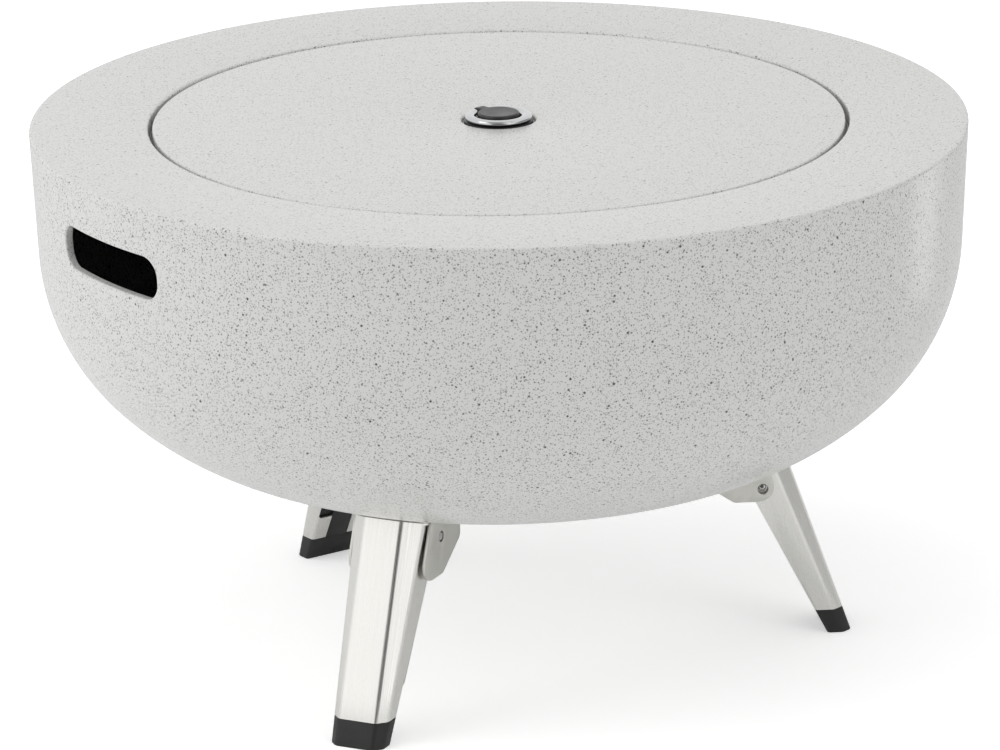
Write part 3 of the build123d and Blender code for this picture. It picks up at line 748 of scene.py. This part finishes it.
class FIREPIT_OT_lift_ring(Operator):
    """Build the chrome lift ring and the black base that it folds round"""

    bl_idname = "firepit.lift_ring"
    bl_label = "Lift ring"

    def execute(self, context):
        lid = context.scene.fire_pit_lid
        about = Matrix.Rotation(lid.ring_azimuth, 4, "Z")
        middle = lid.ring - lid.ring_width / 2
        hinge = Vector((sqrt(middle**2 - (lid.hinge_gap / 2) ** 2), 0, lid.ring_axis))
        ring, base = self.ring(lid, middle, hinge), self.base(lid, hinge)
        for bm in (ring, base):
            bmesh.ops.transform(bm, matrix=about, verts=bm.verts)
        finished(ring, "lift_ring_chrome", "ring", "chrome", "chrome_plate", "lift_ring")
        finished(base, "lift_ring_button", "lid", "black_plastic", "abs_satin", "lift_ring_base")
        coated("zinc_plate", "lift_ring_washer", "lift_ring_screw")
        return {"FINISHED"}

    def ring(self, lid, middle, hinge):
        """The ring's oval section, turned round, with a gap at the hinge and the pin across it."""
        sunk = 0.8 * MM
        bm = bmesh.new()
        bmesh.ops.create_circle(bm, segments=32, radius=1)
        section = Matrix.Translation((middle, 0, lid.ring_axis)) @ Matrix.Rotation(pi / 2, 4, "X")
        section = section @ Matrix.Diagonal((lid.ring_width / 2, lid.ring_thickness / 2, 1, 1))
        bmesh.ops.transform(bm, matrix=section, verts=bm.verts)
        turned(bm, 144)
        ahead = [face for face in bm.faces if face.calc_center_median().x > 0]
        for side in (1, -1):
            ahead, _ = sliced(bm, ahead, side * lid.hinge_gap / 2 * ACROSS, side * ACROSS)
        bmesh.ops.delete(bm, geom=ahead, context="FACES")
        ends = [edge for edge in bm.edges if edge.is_boundary]
        bmesh.ops.holes_fill(bm, edges=ends, sides=0)
        settled(bm)
        softened(bm, 0.5 * MM, over=50, segments=3)
        pin = Matrix.Translation(hinge) @ Matrix.Rotation(pi / 2, 4, "X")
        bmesh.ops.create_cone(
            bm, cap_ends=True, segments=32, radius1=lid.hinge_pin, radius2=lid.hinge_pin,
            depth=lid.hinge_gap + 2 * sunk, matrix=pin,
        )
        return bm

    def base(self, lid, hinge):
        """The plate with its notch, the button, and the lug round the ring's pin."""
        floor = lid.top - lid.dish_depth
        bm = bmesh.new()
        bmesh.ops.create_circle(
            bm, cap_ends=True, segments=128, radius=lid.plate, matrix=Matrix.Translation((0, 0, floor))
        )
        near, far, half = lid.notch, lid.plate + MM, lid.notch_half
        corners = ((near, -half), (far, -half), (far, half), (near, half))
        outline = [Vector((ahead, across, floor)) for ahead, across in corners]
        punched(bm, bm.faces[:], outline, UP)
        thickened(bm, (0, 0, lid.plate_top - floor))
        softened(bm, 0.4 * MM)
        # A shallow dished top inside a rounded edge
        brow, fall, deepest, slant = lid.button - lid.button_edge, 0.2 * MM, 0.25 * MM, 1.6 * MM
        button = bmesh.new()
        draw(button, (0, lid.button_top - deepest), [
            (brow - slant, lid.button_top - fall),
            (brow, lid.button_top),
            (lid.button_edge, pi / 2, -pi / 2, 8),
            (lid.button, floor),
            (0, floor),
        ])
        turned(button, 128)
        joined(bm, button)
        lug = bmesh.new()
        barrel = lid.lug_barrel
        draw(lug, (brow, hinge.z - barrel), [
            (hinge.x, hinge.z - barrel),
            (barrel, -pi / 2, pi, 16),
            (brow, hinge.z + barrel),
        ])
        lug.faces.new(list(lug.verts))
        thickened(lug, (0, lid.lug_width, 0))
        bmesh.ops.translate(lug, verts=lug.verts, vec=(0, -lid.lug_width / 2, 0))
        softened(lug, 0.6 * MM, segments=3)
        joined(bm, lug)
        return bm


class FIREPIT_OT_fire_bowl(Operator):
    """Build the fire bowl that hangs in the rim, and finish its grate"""

    bl_idname = "firepit.fire_bowl"
    bl_label = "Fire bowl"

    def execute(self, context):
        fire = context.scene.fire_pit_fire
        lean, sheet = fire.taper, fire.sheet
        ledge = fire.top - sheet
        inner = fire.radius - sheet / cos(lean)
        bend, apron = 3 * MM, 14 * MM
        wall_foot = fire.radius - fire.wall * tan(lean) - sheet * cos(lean)
        level = ledge - fire.wall - fire.corner * (1 - sin(lean)) + sheet
        bm = bmesh.new()
        draw(bm, (fire.flange, fire.top), [
            (inner + bend, fire.top),
            (bend, pi / 2, pi / 2 - lean, 5),
            (wall_foot, ledge - fire.wall + sheet * sin(lean)),
            (-(fire.corner - sheet), pi - lean, -(pi / 2 - lean), 14),
            (fire.air_circle + apron, level),
            (0, level),
        ])
        turned(bm, 240)
        floor = min(vert.co.z for vert in bm.verts)
        for hole in range(AIR_HOLES):
            turn = tau * hole / AIR_HOLES
            centre = Vector((fire.air_circle * cos(turn), fire.air_circle * sin(turn), floor))
            near = [
                face for face in bm.faces
                if face.normal.z > 0.99 and abs(face.calc_center_median().z - floor) < 0.1 * MM
            ]
            punched(bm, near, circle_outline(centre, fire.air_radius, RADIAL, ACROSS), UP)
        solid(bm, sheet)
        finished(bm, "fire_bowl_skin", "pit", "black_enamel", "vitreous_enamel_black", "fire_bowl")
        grate = bmesh.new()
        grate.from_mesh(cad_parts["fuel_grate"].data)
        bmesh.ops.remove_doubles(grate, verts=grate.verts, dist=MERGED)
        bmesh.ops.dissolve_limit(
            grate, angle_limit=radians(0.5), verts=grate.verts[:], edges=grate.edges[:]
        )
        softened(grate, 1.2 * MM)
        finished(grate, "fuel_grate_casting", "pit", "cast_iron", "cast_iron", "fuel_grate")
        return {"FINISHED"}


def pivot_at(leg, ahead=0.0, below=0.0):
    """The pivot of a leg along X, or a place ahead of it and below it."""
    return Vector((leg.pivot_radius + ahead, 0, leg.pivot_height - below))


def swung(bm, azimuth):
    """Turns a leg's piece from the X axis to its place round the bowl."""
    bmesh.ops.transform(bm, matrix=Matrix.Rotation(radians(azimuth), 4, "Z"), verts=bm.verts)


def leg_section(leg, height, inset=0.0):
    """Corners of a leg's outline at a height, moved in by inset, from one inner edge to the other."""
    below = leg.pivot_height - height
    face_rate, edge_rate = tan(leg.face_splay), tan(leg.edge_splay)
    face = leg.pivot_radius + leg.face_ahead + below * face_rate
    facet = face + leg.face_half - inset * sqrt(2 + face_rate**2)
    inner = leg.pivot_radius - leg.edge_behind + below * edge_rate + inset * sqrt(1 + edge_rate**2)
    face -= inset * sqrt(1 + face_rate**2)
    width = leg.flange_half - below * tan(leg.flange_taper) - inset
    side = [(inner, width), (facet - width, width), (face, facet - face)]
    both = side + [(radius, -across) for radius, across in reversed(side)]
    return [Vector((radius, across, height)) for radius, across in both]


def lofted(bm, lower, upper, closed):
    """Sheet from one outline up to another with as many corners, or a solid where it is closed."""
    ends = [[bm.verts.new(place) for place in outline] for outline in (lower, upper)]
    rows = list(zip(*ends))
    if closed:
        rows.append(rows[0])
        for verts in ends:
            bm.faces.new(verts)
    for (low, high), (next_low, next_high) in zip(rows, rows[1:]):
        bm.faces.new((low, next_low, next_high, high))
    settled(bm)


def folded(bm, bend, edges):
    """Rounds gentle folds of the sheet to a bend's outer radius, and steep ones to half of it."""
    for gentlest, steepest, share in ((20, 60, 1.0), (60, 150, 0.5)):
        folds = [
            edge for edge in edges
            if edge.is_valid and radians(gentlest) < edge.calc_face_angle() < radians(steepest)
        ]
        steep = max(edge.calc_face_angle() for edge in folds)
        bevelled(bm, folds, share * bend * tan(steep / 2), 6)


def with_grain(bm, place):
    """Notes on each vertex how far it lies across and along the brushing."""
    layer = bm.verts.layers.float_vector.new("grain")
    for vert in bm.verts:
        vert[layer] = place(vert.co)


class FIREPIT_OT_legs(Operator):
    """Fold the three leg channels from sheet"""

    bl_idname = "firepit.legs"
    bl_label = "Legs"

    def execute(self, context):
        leg = context.scene.fire_pit_leg
        height, slope = underside(context.scene.fire_pit_bowl)
        for number, azimuth in LEGS:
            bm = self.channel(leg, height, slope)
            swung(bm, azimuth)
            finished(
                bm, f"leg_folded_{number}", f"leg_{number}", "stainless", "stainless_brushed",
                f"leg_channel_{number}",
            )
        return {"FINISHED"}

    def channel(self, leg, height, slope):
        """A channel along X: face, facets, flanges and lips, its top cut to the bowl, and its holes."""
        bm = bmesh.new()
        high = height(leg.pivot_radius + leg.face_ahead)
        lofted(bm, leg_section(leg, leg.toe), leg_section(leg, high), False)
        # Lips at the toe, turned in from the flanges' inner edges
        sliced(bm, bm.faces[:], leg.lip_top * UP, UP)
        inner = [
            edge for edge in bm.edges
            if edge.is_boundary and abs(edge.verts[0].co.z - edge.verts[1].co.z) > 10 * MM
            and max(vert.co.z for vert in edge.verts) < leg.lip_top + MM
        ]
        for vert in only(BMVert, bmesh.ops.extrude_edge_only(bm, edges=inner)["geom"]):
            vert.co.y = leg.lip_gap / 2 * (1 if vert.co.y > 0 else -1)
        settled(bm)
        sharp = [edge for edge in bm.edges if edge.is_manifold and edge.calc_face_angle() > radians(20)]
        folded(bm, leg.bend, sharp)
        self.trim_top(bm, leg, height, slope)
        pivot, lock = pivot_at(leg), pivot_at(leg, leg.lock_ahead, leg.lock_below)
        pin_hole = leg.pin + 0.1 * MM
        for side, centre, radius in ((1, pivot, pin_hole), (-1, pivot, pin_hole), (-1, lock, leg.lock_stem)):
            flange = [face for face in bm.faces if face.normal.y * side > 0.9]
            punched(bm, flange, circle_outline(centre, radius, RADIAL, UP), -ACROSS)
        solid(bm, leg.sheet)
        softened(bm, 0.25 * MM)
        rate = tan(leg.face_splay)
        with_grain(bm, lambda co: (co.x + co.z * rate, co.y, co.z))
        return bm

    def trim_top(self, bm, leg, height, slope):
        """Cuts the sheet below the bracket's pad and the bowl, and rounds it behind the pivot."""
        tilt = slope(leg.pivot_radius)
        drop = leg.pad_gap + leg.ear_sheet + leg.clearance
        lug_top = pivot_at(leg, -leg.lug * sin(tilt), -leg.lug * cos(tilt))
        step = leg.pivot_radius + leg.pad_ahead + leg.clearance
        pad_end = Vector((step, 0, height(step) - drop))
        stop = Vector((step + leg.ear_sheet, 0, height(step + leg.ear_sheet) - leg.stop_gap))
        inside, outside = sliced(bm, bm.faces[:], pad_end, RADIAL)
        run = pad_end - lug_top
        _, waste = sliced(bm, inside, lug_top, Vector((-run.z, 0, run.x)).normalized())
        tilt = slope(stop.x)
        _, more = sliced(bm, outside, stop, Vector((-sin(tilt), 0, cos(tilt))))
        bmesh.ops.delete(bm, geom=waste + more, context="FACES")
        # Lug: the flange goes on behind the pivot, then is rounded about it
        back = [
            edge for edge in bm.edges
            if edge.is_boundary and min(vert.co.z for vert in edge.verts) > leg.lip_top - MM
            and abs(edge.verts[0].co.z - edge.verts[1].co.z) > 10 * MM
            and all(abs(vert.co.x - leg_section(leg, vert.co.z)[0].x) < 0.1 * MM for vert in edge.verts)
        ]
        made = bmesh.ops.extrude_edge_only(bm, edges=back)["geom"]
        for vert in only(BMVert, made):
            vert.co.x -= 2 * leg.lug
        faces = only(BMFace, made)
        outline = circle_outline(pivot_at(leg), leg.lug, RADIAL, UP, 40)
        for start, end in zip(outline, outline[1:] + outline[:1]):
            faces, cut_off = sliced(bm, faces, start, (end - start).cross(-ACROSS).normalized())
            bmesh.ops.delete(bm, geom=cut_off, context="FACES")
        settled(bm)


class FIREPIT_OT_feet(Operator):
    """Mould the three feet with their tongues"""

    bl_idname = "firepit.feet"
    bl_label = "Feet"

    def execute(self, context):
        leg = context.scene.fire_pit_leg
        for number, azimuth in LEGS:
            bm = self.plug(leg)
            joined(bm, self.tongue(leg))
            swung(bm, azimuth)
            finished(
                bm, f"foot_moulded_{number}", f"leg_{number}", "foot_plastic", "polypropylene_textured",
                f"foot_{number}",
            )
        return {"FINISHED"}

    def plug(self, leg):
        """The block below the sheet, flush with it all round."""
        bm = bmesh.new()
        lofted(bm, leg_section(leg, 0.0), leg_section(leg, leg.foot), True)
        upright = [
            edge for edge in bm.edges if abs(edge.verts[0].co.z - edge.verts[1].co.z) > leg.foot / 2
        ]
        folded(bm, leg.bend, upright)
        softened(bm, 0.8 * MM, segments=3)
        return bm

    def tongue(self, leg):
        """The tongue inside the sheet, with a rib that fills the gap between the lips."""
        half = leg.lip_gap / 2 - leg.foot_fit

        def outline(height):
            corners = leg_section(leg, height, leg.sheet + leg.foot_fit + MM)
            inside, flush = corners[0].x, leg_section(leg, height)[0].x
            rib = ((inside, -half), (flush, -half), (flush, half), (inside, half))
            return corners + [Vector((radius, across, height)) for radius, across in rib]

        bm = bmesh.new()
        lofted(bm, outline(leg.foot - leg.sheet), outline(leg.tongue), True)
        softened(bm, 0.4 * MM, segments=3)
        return bm


class FIREPIT_OT_brackets(Operator):
    """Press the three brackets: a pad under the bowl and two ears beside the leg"""

    bl_idname = "firepit.brackets"
    bl_label = "Brackets"

    def execute(self, context):
        leg = context.scene.fire_pit_leg
        height, _ = underside(context.scene.fire_pit_bowl)
        for number, azimuth in LEGS:
            bm = bmesh.new()
            for side in (1, -1):
                self.ear(bm, leg, height, side)
            self.pad(bm, leg, height)
            softened(bm, 0.35 * MM)
            swung(bm, azimuth)
            finished(
                bm, f"leg_bracket_pressed_{number}", "pit", "stainless", "stainless_satin",
                f"leg_bracket_{number}",
            )
        return {"FINISHED"}

    def ear(self, bm, leg, height, side):
        """One ear: its outline under the bowl, rounded corners, holes for the pin and the lock."""
        outer = side * (leg.ear_inner + leg.ear_sheet)
        back = leg.pivot_radius - leg.ear_back
        bottom = leg.pivot_height - leg.ear_drop
        rate = tan(leg.face_splay) + tan(leg.flange_taper)
        front = leg.pivot_radius + leg.ear_ahead

        def under(radius):
            return height(sqrt(radius**2 + outer**2)) - leg.pad_gap

        front_top = front
        for _ in range(8):
            front_top = front - (under(front_top) - leg.pivot_height) * rate
        tops = [front_top + (back - front_top) * share / 6 for share in range(7)]
        places = [(radius, under(radius)) for radius in tops]
        corners = [
            ((back, bottom + leg.slant_rise), leg.slant_corner),
            ((back + leg.slant_run, bottom), leg.slant_corner),
            ((front + leg.ear_drop * rate, bottom), leg.ear_corner),
        ]
        places += [place for place, _ in corners]
        sheet = bmesh.new()
        verts = [sheet.verts.new((radius, outer, level)) for radius, level in places]
        sheet.faces.new(verts)
        for vert, (_, radius) in zip(verts[len(tops):], corners):
            ahead, behind = [(edge.other_vert(vert).co - vert.co).normalized() for edge in vert.link_edges]
            bevelled(sheet, [vert], radius / tan(ahead.angle(behind) / 2), 8, "VERTICES")
        for face in sheet.faces:
            face.normal_update()
            if face.normal.y * side < 0:
                face.normal_flip()
        holes = [(pivot_at(leg), leg.pin + 0.2 * MM)]
        if side < 0:
            holes.append((pivot_at(leg, leg.lock_ahead, leg.lock_below), leg.lock_hole))
        for centre, radius in holes:
            punched(sheet, sheet.faces[:], circle_outline(centre, radius, RADIAL, UP), -ACROSS)
        solid(sheet, leg.ear_sheet)
        joined(bm, sheet)

    def pad(self, bm, leg, height):
        """The pad between the ears, pressed to the bowl's underside."""
        back, front = leg.pivot_radius - leg.ear_back, leg.pivot_radius + leg.pad_ahead
        half = leg.ear_inner + leg.ear_sheet / 2
        # Turned a little larger than the pad, then cut to its size
        sheet = bmesh.new()
        steps, first, last = 8, back - 4 * MM, front + 6 * MM
        spread = [first + (last - first) * step / steps for step in range(steps + 1)]
        gap = leg.pad_gap + leg.ear_sheet
        draw(sheet, (spread[0], height(spread[0]) - gap), [(r, height(r) - gap) for r in spread[1:]])
        turn = 2.2 * atan2(half, back)
        bmesh.ops.rotate(sheet, verts=sheet.verts, cent=(0, 0, 0), matrix=Matrix.Rotation(-turn / 2, 3, "Z"))
        bmesh.ops.spin(
            sheet, geom=sheet.verts[:] + sheet.edges[:], cent=(0, 0, 0), axis=(0, 0, 1), angle=turn,
            steps=16, use_merge=False,
        )
        bmesh.ops.remove_doubles(sheet, verts=sheet.verts, dist=MERGED)
        in_order(sheet)
        limits = (
            (back * RADIAL, -RADIAL), (front * RADIAL, RADIAL),
            (half * ACROSS, ACROSS), (-half * ACROSS, -ACROSS),
        )
        for point, normal in limits:
            _, waste = sliced(sheet, sheet.faces[:], point, normal)
            bmesh.ops.delete(sheet, geom=waste, context="FACES")
        for face in sheet.faces:
            if face.normal.z > 0:
                face.normal_flip()
        solid(sheet, leg.ear_sheet)
        joined(bm, sheet)


class FIREPIT_OT_fittings(Operator):
    """Turn the pins and the lock plungers, and finish the washers, screws and nuts"""

    bl_idname = "firepit.fittings"
    bl_label = "Fittings"

    def execute(self, context):
        leg = context.scene.fire_pit_leg
        coated("zinc_plate", "bracket_screws", "bracket_nuts")
        for number, azimuth in LEGS:
            pin, plunger = self.pin(leg), self.plunger(leg)
            lock = pivot_at(leg, leg.lock_ahead, leg.lock_below)
            for bm, place in ((pin, pivot_at(leg)), (plunger, lock)):
                lying = Matrix.Translation(place) @ Matrix.Rotation(pi / 2, 4, "X")
                bmesh.ops.transform(bm, matrix=lying, verts=bm.verts)
                swung(bm, azimuth)
            finished(
                pin, f"pivot_pin_turned_{number}", "pit", "zinc_steel", "zinc_plate",
                f"pivot_pin_{number}",
            )
            finished(
                plunger, f"lock_plunger_turned_{number}", f"leg_{number}", "zinc_steel",
                "steel_polished", f"lock_plunger_{number}",
            )
            coated("zinc_plate", f"pivot_spacer_{number}")
            coated("nylon_black", f"pivot_washers_{number}")
        return {"FINISHED"}

    def pin(self, leg):
        """A pin along Z with turned-down, dimpled ends."""
        half = leg.ear_inner + leg.ear_sheet - leg.pin_recess
        chamfer, nose = 0.4 * MM, 1.2 * MM
        bm = bmesh.new()
        draw(bm, (0, half - chamfer), [
            (2 * chamfer, half),
            (leg.pin_nose - chamfer, half),
            (leg.pin_nose, half - chamfer),
            (leg.pin_nose, half - nose),
            (leg.pin, half - nose),
            (leg.pin, 0),
        ])
        bmesh.ops.mirror(bm, geom=bm.verts[:] + bm.edges[:], matrix=Matrix(), merge_dist=MERGED, axis="Z")
        turned(bm, 48)
        return bm

    def plunger(self, leg):
        """A plunger along Z: a dome ground to a slant on its upper side, a stem, and a body."""
        taper = tan(leg.flange_taper)
        flange = leg.flange_half - leg.lock_below * taper
        seat = flange + leg.plunger * taper
        tip = seat + leg.plunger_rise
        inner = flange - leg.sheet - leg.plunger_body * taper - leg.foot_fit
        stem = leg.lock_stem - leg.foot_fit
        ball = (leg.plunger**2 + leg.plunger_rise**2) / (2 * leg.plunger_rise)
        bm = bmesh.new()
        draw(bm, (0, tip), [
            (ball, pi / 2, -asin(leg.plunger / ball), 10),
            (stem, seat),
            (stem, inner),
            (leg.plunger_body, inner),
            (leg.plunger_body, inner - leg.plunger_length),
            (0, inner - leg.plunger_length),
        ])
        turned(bm, 48)
        slant = Vector((0, leg.plunger_rise, leg.plunger)).normalized()
        _, waste = sliced(bm, bm.faces[:], Vector((0, -0.2 * MM, tip)), slant)
        bmesh.ops.delete(bm, geom=waste, context="FACES")
        bmesh.ops.holes_fill(bm, edges=[edge for edge in bm.edges if edge.is_boundary], sides=0)
        settled(bm)
        return bm


def heading(ahead, bearing, elevation):
    """Direction in degrees to the right of the way to the camera, and above the horizon."""
    turn, lift = ahead + radians(bearing), radians(elevation)
    return Vector((cos(turn) * cos(lift), sin(turn) * cos(lift), sin(lift)))


def seen(tree, path, *kinds):
    """1 for rays of these kinds, 0 for the rest."""
    value = 0.0
    for kind in kinds:
        most = add(
            tree, "Math", {"operation": "MAXIMUM"}, {0: path.outputs[f"Is {kind} Ray"], 1: value}
        )
        value = most.outputs[0]
    return value


class FIREPIT_OT_stage(Operator):
    """Set the white floor, soft studio light and the camera"""

    bl_idname = "firepit.stage"
    bl_label = "Stage"

    def execute(self, context):
        stage = context.scene.fire_pit_stage
        scene = context.scene
        scene.view_settings.view_transform = "Standard"
        ahead = stage.heading - pi / 2
        self.sky(scene, stage, ahead)
        self.floor(scene)
        # Lamps: bearing from the camera, elevation, distance, size, power
        lamps = {
            "left": (-75, 28, 2.6, 2.2, stage.left),
            "right": (50, 25, 2.6, 1.4, stage.right),
            "above": (0, 80, 2.5, 2.6, stage.above),
        }
        for name, (bearing, elevation, distance, size, power) in lamps.items():
            self.lamp(scene, name, heading(ahead, bearing, elevation), distance, size, power)
        camera = bpy.data.objects.new("camera", bpy.data.cameras.new("camera"))
        scene.collection.objects.link(camera)
        camera.data.sensor_width = 36.0
        camera.data.lens = stage.lens
        camera.data.clip_start, camera.data.clip_end = 0.1, 100.0
        turn = Matrix.Rotation(stage.heading, 4, "Z") @ Matrix.Rotation(pi / 2 - stage.pitch, 4, "X")
        camera.matrix_world = Matrix.Translation(stage.eye) @ turn @ Matrix.Rotation(stage.roll, 4, "Z")
        scene.camera = camera
        return {"FINISHED"}

    def sky(self, scene, stage, ahead):
        """White to the camera, white with cards and flags in reflections, and a softer light."""
        world = bpy.data.worlds.new("studio")
        world.use_nodes = True
        scene.world = world
        tree = world.node_tree
        tree.nodes.clear()
        path = add(tree, "LightPath", {}, {})
        way = add(tree, "TexCoord", {}, {}).outputs["Generated"]
        mirrored = 1.0
        # Dark flags and bright cards: bearing from the camera, elevation, half width, its edge, strength
        cards = (
            (0, 20, 17, 34, 0.09),
            (97, 5, 20, 45, 0.33),
            (-51, 15, 20, 34, 1.26),
            (39, 9, 10, 19, 1.48),
            (0, 82, 18, 36, 0.45),
            (-26, 77, 8, 16, 0.5),
            (-92, 60, 8, 15, 3.2),
            (60, 70, 6, 11, 3.5),
        )
        for bearing, elevation, full, none, strength in cards:
            near = add(
                tree, "VectorMath", {"operation": "DOT_PRODUCT"},
                {0: way, 1: heading(ahead, bearing, elevation)},
            )
            shade = add(
                tree, "MapRange", {"interpolation_type": "SMOOTHSTEP"},
                {
                    "Value": near.outputs["Value"], "From Min": cos(radians(none)),
                    "From Max": cos(radians(full)), "To Min": 1.0, "To Max": strength,
                },
            )
            both = add(
                tree, "Math", {"operation": "MULTIPLY"}, {0: shade.outputs["Result"], 1: mirrored}
            )
            mirrored = both.outputs[0]
        strengths = (stage.sky, mirrored, 1.0)
        light, glossy, white = [
            add(tree, "Background", {}, {"Color": (1, 1, 1, 1), "Strength": strength})
            for strength in strengths
        ]
        lit = add(
            tree, "MixShader", {},
            {0: path.outputs["Is Glossy Ray"], 1: light.outputs[0], 2: glossy.outputs[0]},
        )
        mix = add(
            tree, "MixShader", {},
            {0: seen(tree, path, "Camera", "Transmission"), 1: lit.outputs[0], 2: white.outputs[0]},
        )
        add(tree, "OutputWorld", {}, {"Surface": mix.outputs[0]})

    def floor(self, scene):
        """A wide white floor that takes the shadow."""
        bm = bmesh.new()
        bmesh.ops.create_circle(bm, cap_ends=True, segments=96, radius=30.0)
        mesh = bpy.data.meshes.new("floor")
        bm.to_mesh(mesh)
        bm.free()
        floor = bpy.data.objects.new("floor", mesh)
        scene.collection.objects.link(floor)
        material, tree, shader = blank("floor_matt_white")
        shader.inputs["Base Color"].default_value = (*linear("#F4F4F4"), 1)
        shader.inputs["Roughness"].default_value = 0.9
        shader.inputs["Specular IOR Level"].default_value = 0.0
        shader.inputs["Emission Color"].default_value = (1, 1, 1, 1)
        # A light table: it glows faintly, and is lifted to white for the camera further out
        glow = 0.15
        path = add(tree, "LightPath", {}, {})
        place = add(tree, "TexCoord", {}, {}).outputs["Object"]
        reach = add(tree, "VectorMath", {"operation": "LENGTH"}, {0: place})
        lift = add(
            tree, "MapRange", {},
            {
                "Value": reach.outputs["Value"], "From Min": 0.35, "From Max": 1.2, "To Min": 0.3,
                "To Max": 0.5,
            },
        )
        # A bright strip beyond the bowl's right side, which the enamel mirrors as a soft upright band
        strip_start, strip_way = Vector((0.170, -0.300, 0)), radians(4.0)
        along = add(tree, "VectorMath", {"operation": "SUBTRACT"}, {0: place, 1: strip_start})
        along = add(tree, "VectorMath", {"operation": "NORMALIZE"}, {0: along.outputs[0]})
        inside = add(
            tree, "VectorMath", {"operation": "DOT_PRODUCT"},
            {0: along.outputs[0], 1: (cos(strip_way), sin(strip_way), 0)},
        )
        outer = add(
            tree, "MapRange", {"interpolation_type": "SMOOTHSTEP"},
            {"Value": reach.outputs["Value"], "From Min": 0.85, "From Max": 1.25, "To Max": 0.95},
        )
        strip = add(
            tree, "MapRange", {"interpolation_type": "SMOOTHSTEP"},
            {
                "Value": inside.outputs["Value"], "From Min": cos(radians(9)), "From Max": cos(radians(4)),
                "To Max": outer.outputs["Result"],
            },
        )
        mirrored = add(
            tree, "Math", {"operation": "MULTIPLY_ADD"},
            {0: path.outputs["Is Glossy Ray"], 1: strip.outputs["Result"], 2: glow},
        )
        shown = add(
            tree, "Math", {"operation": "MULTIPLY_ADD"},
            {
                0: lift.outputs["Result"], 1: seen(tree, path, "Camera", "Transmission"),
                2: mirrored.outputs[0],
            },
        )
        tree.links.new(shown.outputs[0], shader.inputs["Emission Strength"])
        mesh.materials.append(material)

    def lamp(self, scene, name, way, distance, size, power):
        """A square lamp that looks at the middle of the object, and that the cards stand for in metal."""
        data = bpy.data.lights.new(name, "AREA")
        data.shape = "SQUARE"
        data.size = size
        data.energy = power
        lamp = bpy.data.objects.new(name, data)
        scene.collection.objects.link(lamp)
        lamp.location = Vector((0, 0, (cad_low.z + cad_high.z) / 2)) + way * distance
        lamp.rotation_euler = way.to_track_quat("Z", "Y").to_euler()
        lamp.visible_glossy = False


class FIREPIT_PT_sidebar(Panel):
    """Sizes, finishes and pieces of the fire pit"""

    bl_idname = "FIREPIT_PT_sidebar"
    bl_label = "Fire pit"
    bl_space_type = "VIEW_3D"
    bl_region_type = "UI"
    bl_category = "Fire pit"

    def draw(self, context):
        for group in GROUPS:
            settings = getattr(context.scene, GROUPS[group])
            box = self.layout.box()
            box.label(text=group.__doc__)
            for name in group.__annotations__:
                box.prop(settings, name)
        for operator in OPERATORS:
            self.layout.operator(operator.bl_idname)


GROUPS = {
    BowlSizes: "fire_pit_bowl",
    FireSizes: "fire_pit_fire",
    LidSizes: "fire_pit_lid",
    LegSizes: "fire_pit_leg",
    Finishes: "fire_pit_finishes",
    StageSizes: "fire_pit_stage",
}
OPERATORS = (
    FIREPIT_OT_outer_bowl,
    FIREPIT_OT_rim_ring,
    FIREPIT_OT_lid_panel,
    FIREPIT_OT_lift_ring,
    FIREPIT_OT_fire_bowl,
    FIREPIT_OT_legs,
    FIREPIT_OT_feet,
    FIREPIT_OT_brackets,
    FIREPIT_OT_fittings,
    FIREPIT_OT_stage,
)


def register():
    for group, place in GROUPS.items():
        bpy.utils.register_class(group)
        setattr(bpy.types.Scene, place, PointerProperty(type=group))
    for operator in OPERATORS:
        bpy.utils.register_class(operator)
    bpy.utils.register_class(FIREPIT_PT_sidebar)


def unregister():
    bpy.utils.unregister_class(FIREPIT_PT_sidebar)
    for operator in reversed(OPERATORS):
        bpy.utils.unregister_class(operator)
    for group, place in reversed(GROUPS.items()):
        delattr(bpy.types.Scene, place)
        bpy.utils.unregister_class(group)


def main():
    register()
    for operator in OPERATORS:
        name = operator.bl_idname.split(".")[1]
        getattr(bpy.ops.firepit, name)()


if __name__ == "__main__":
    main()
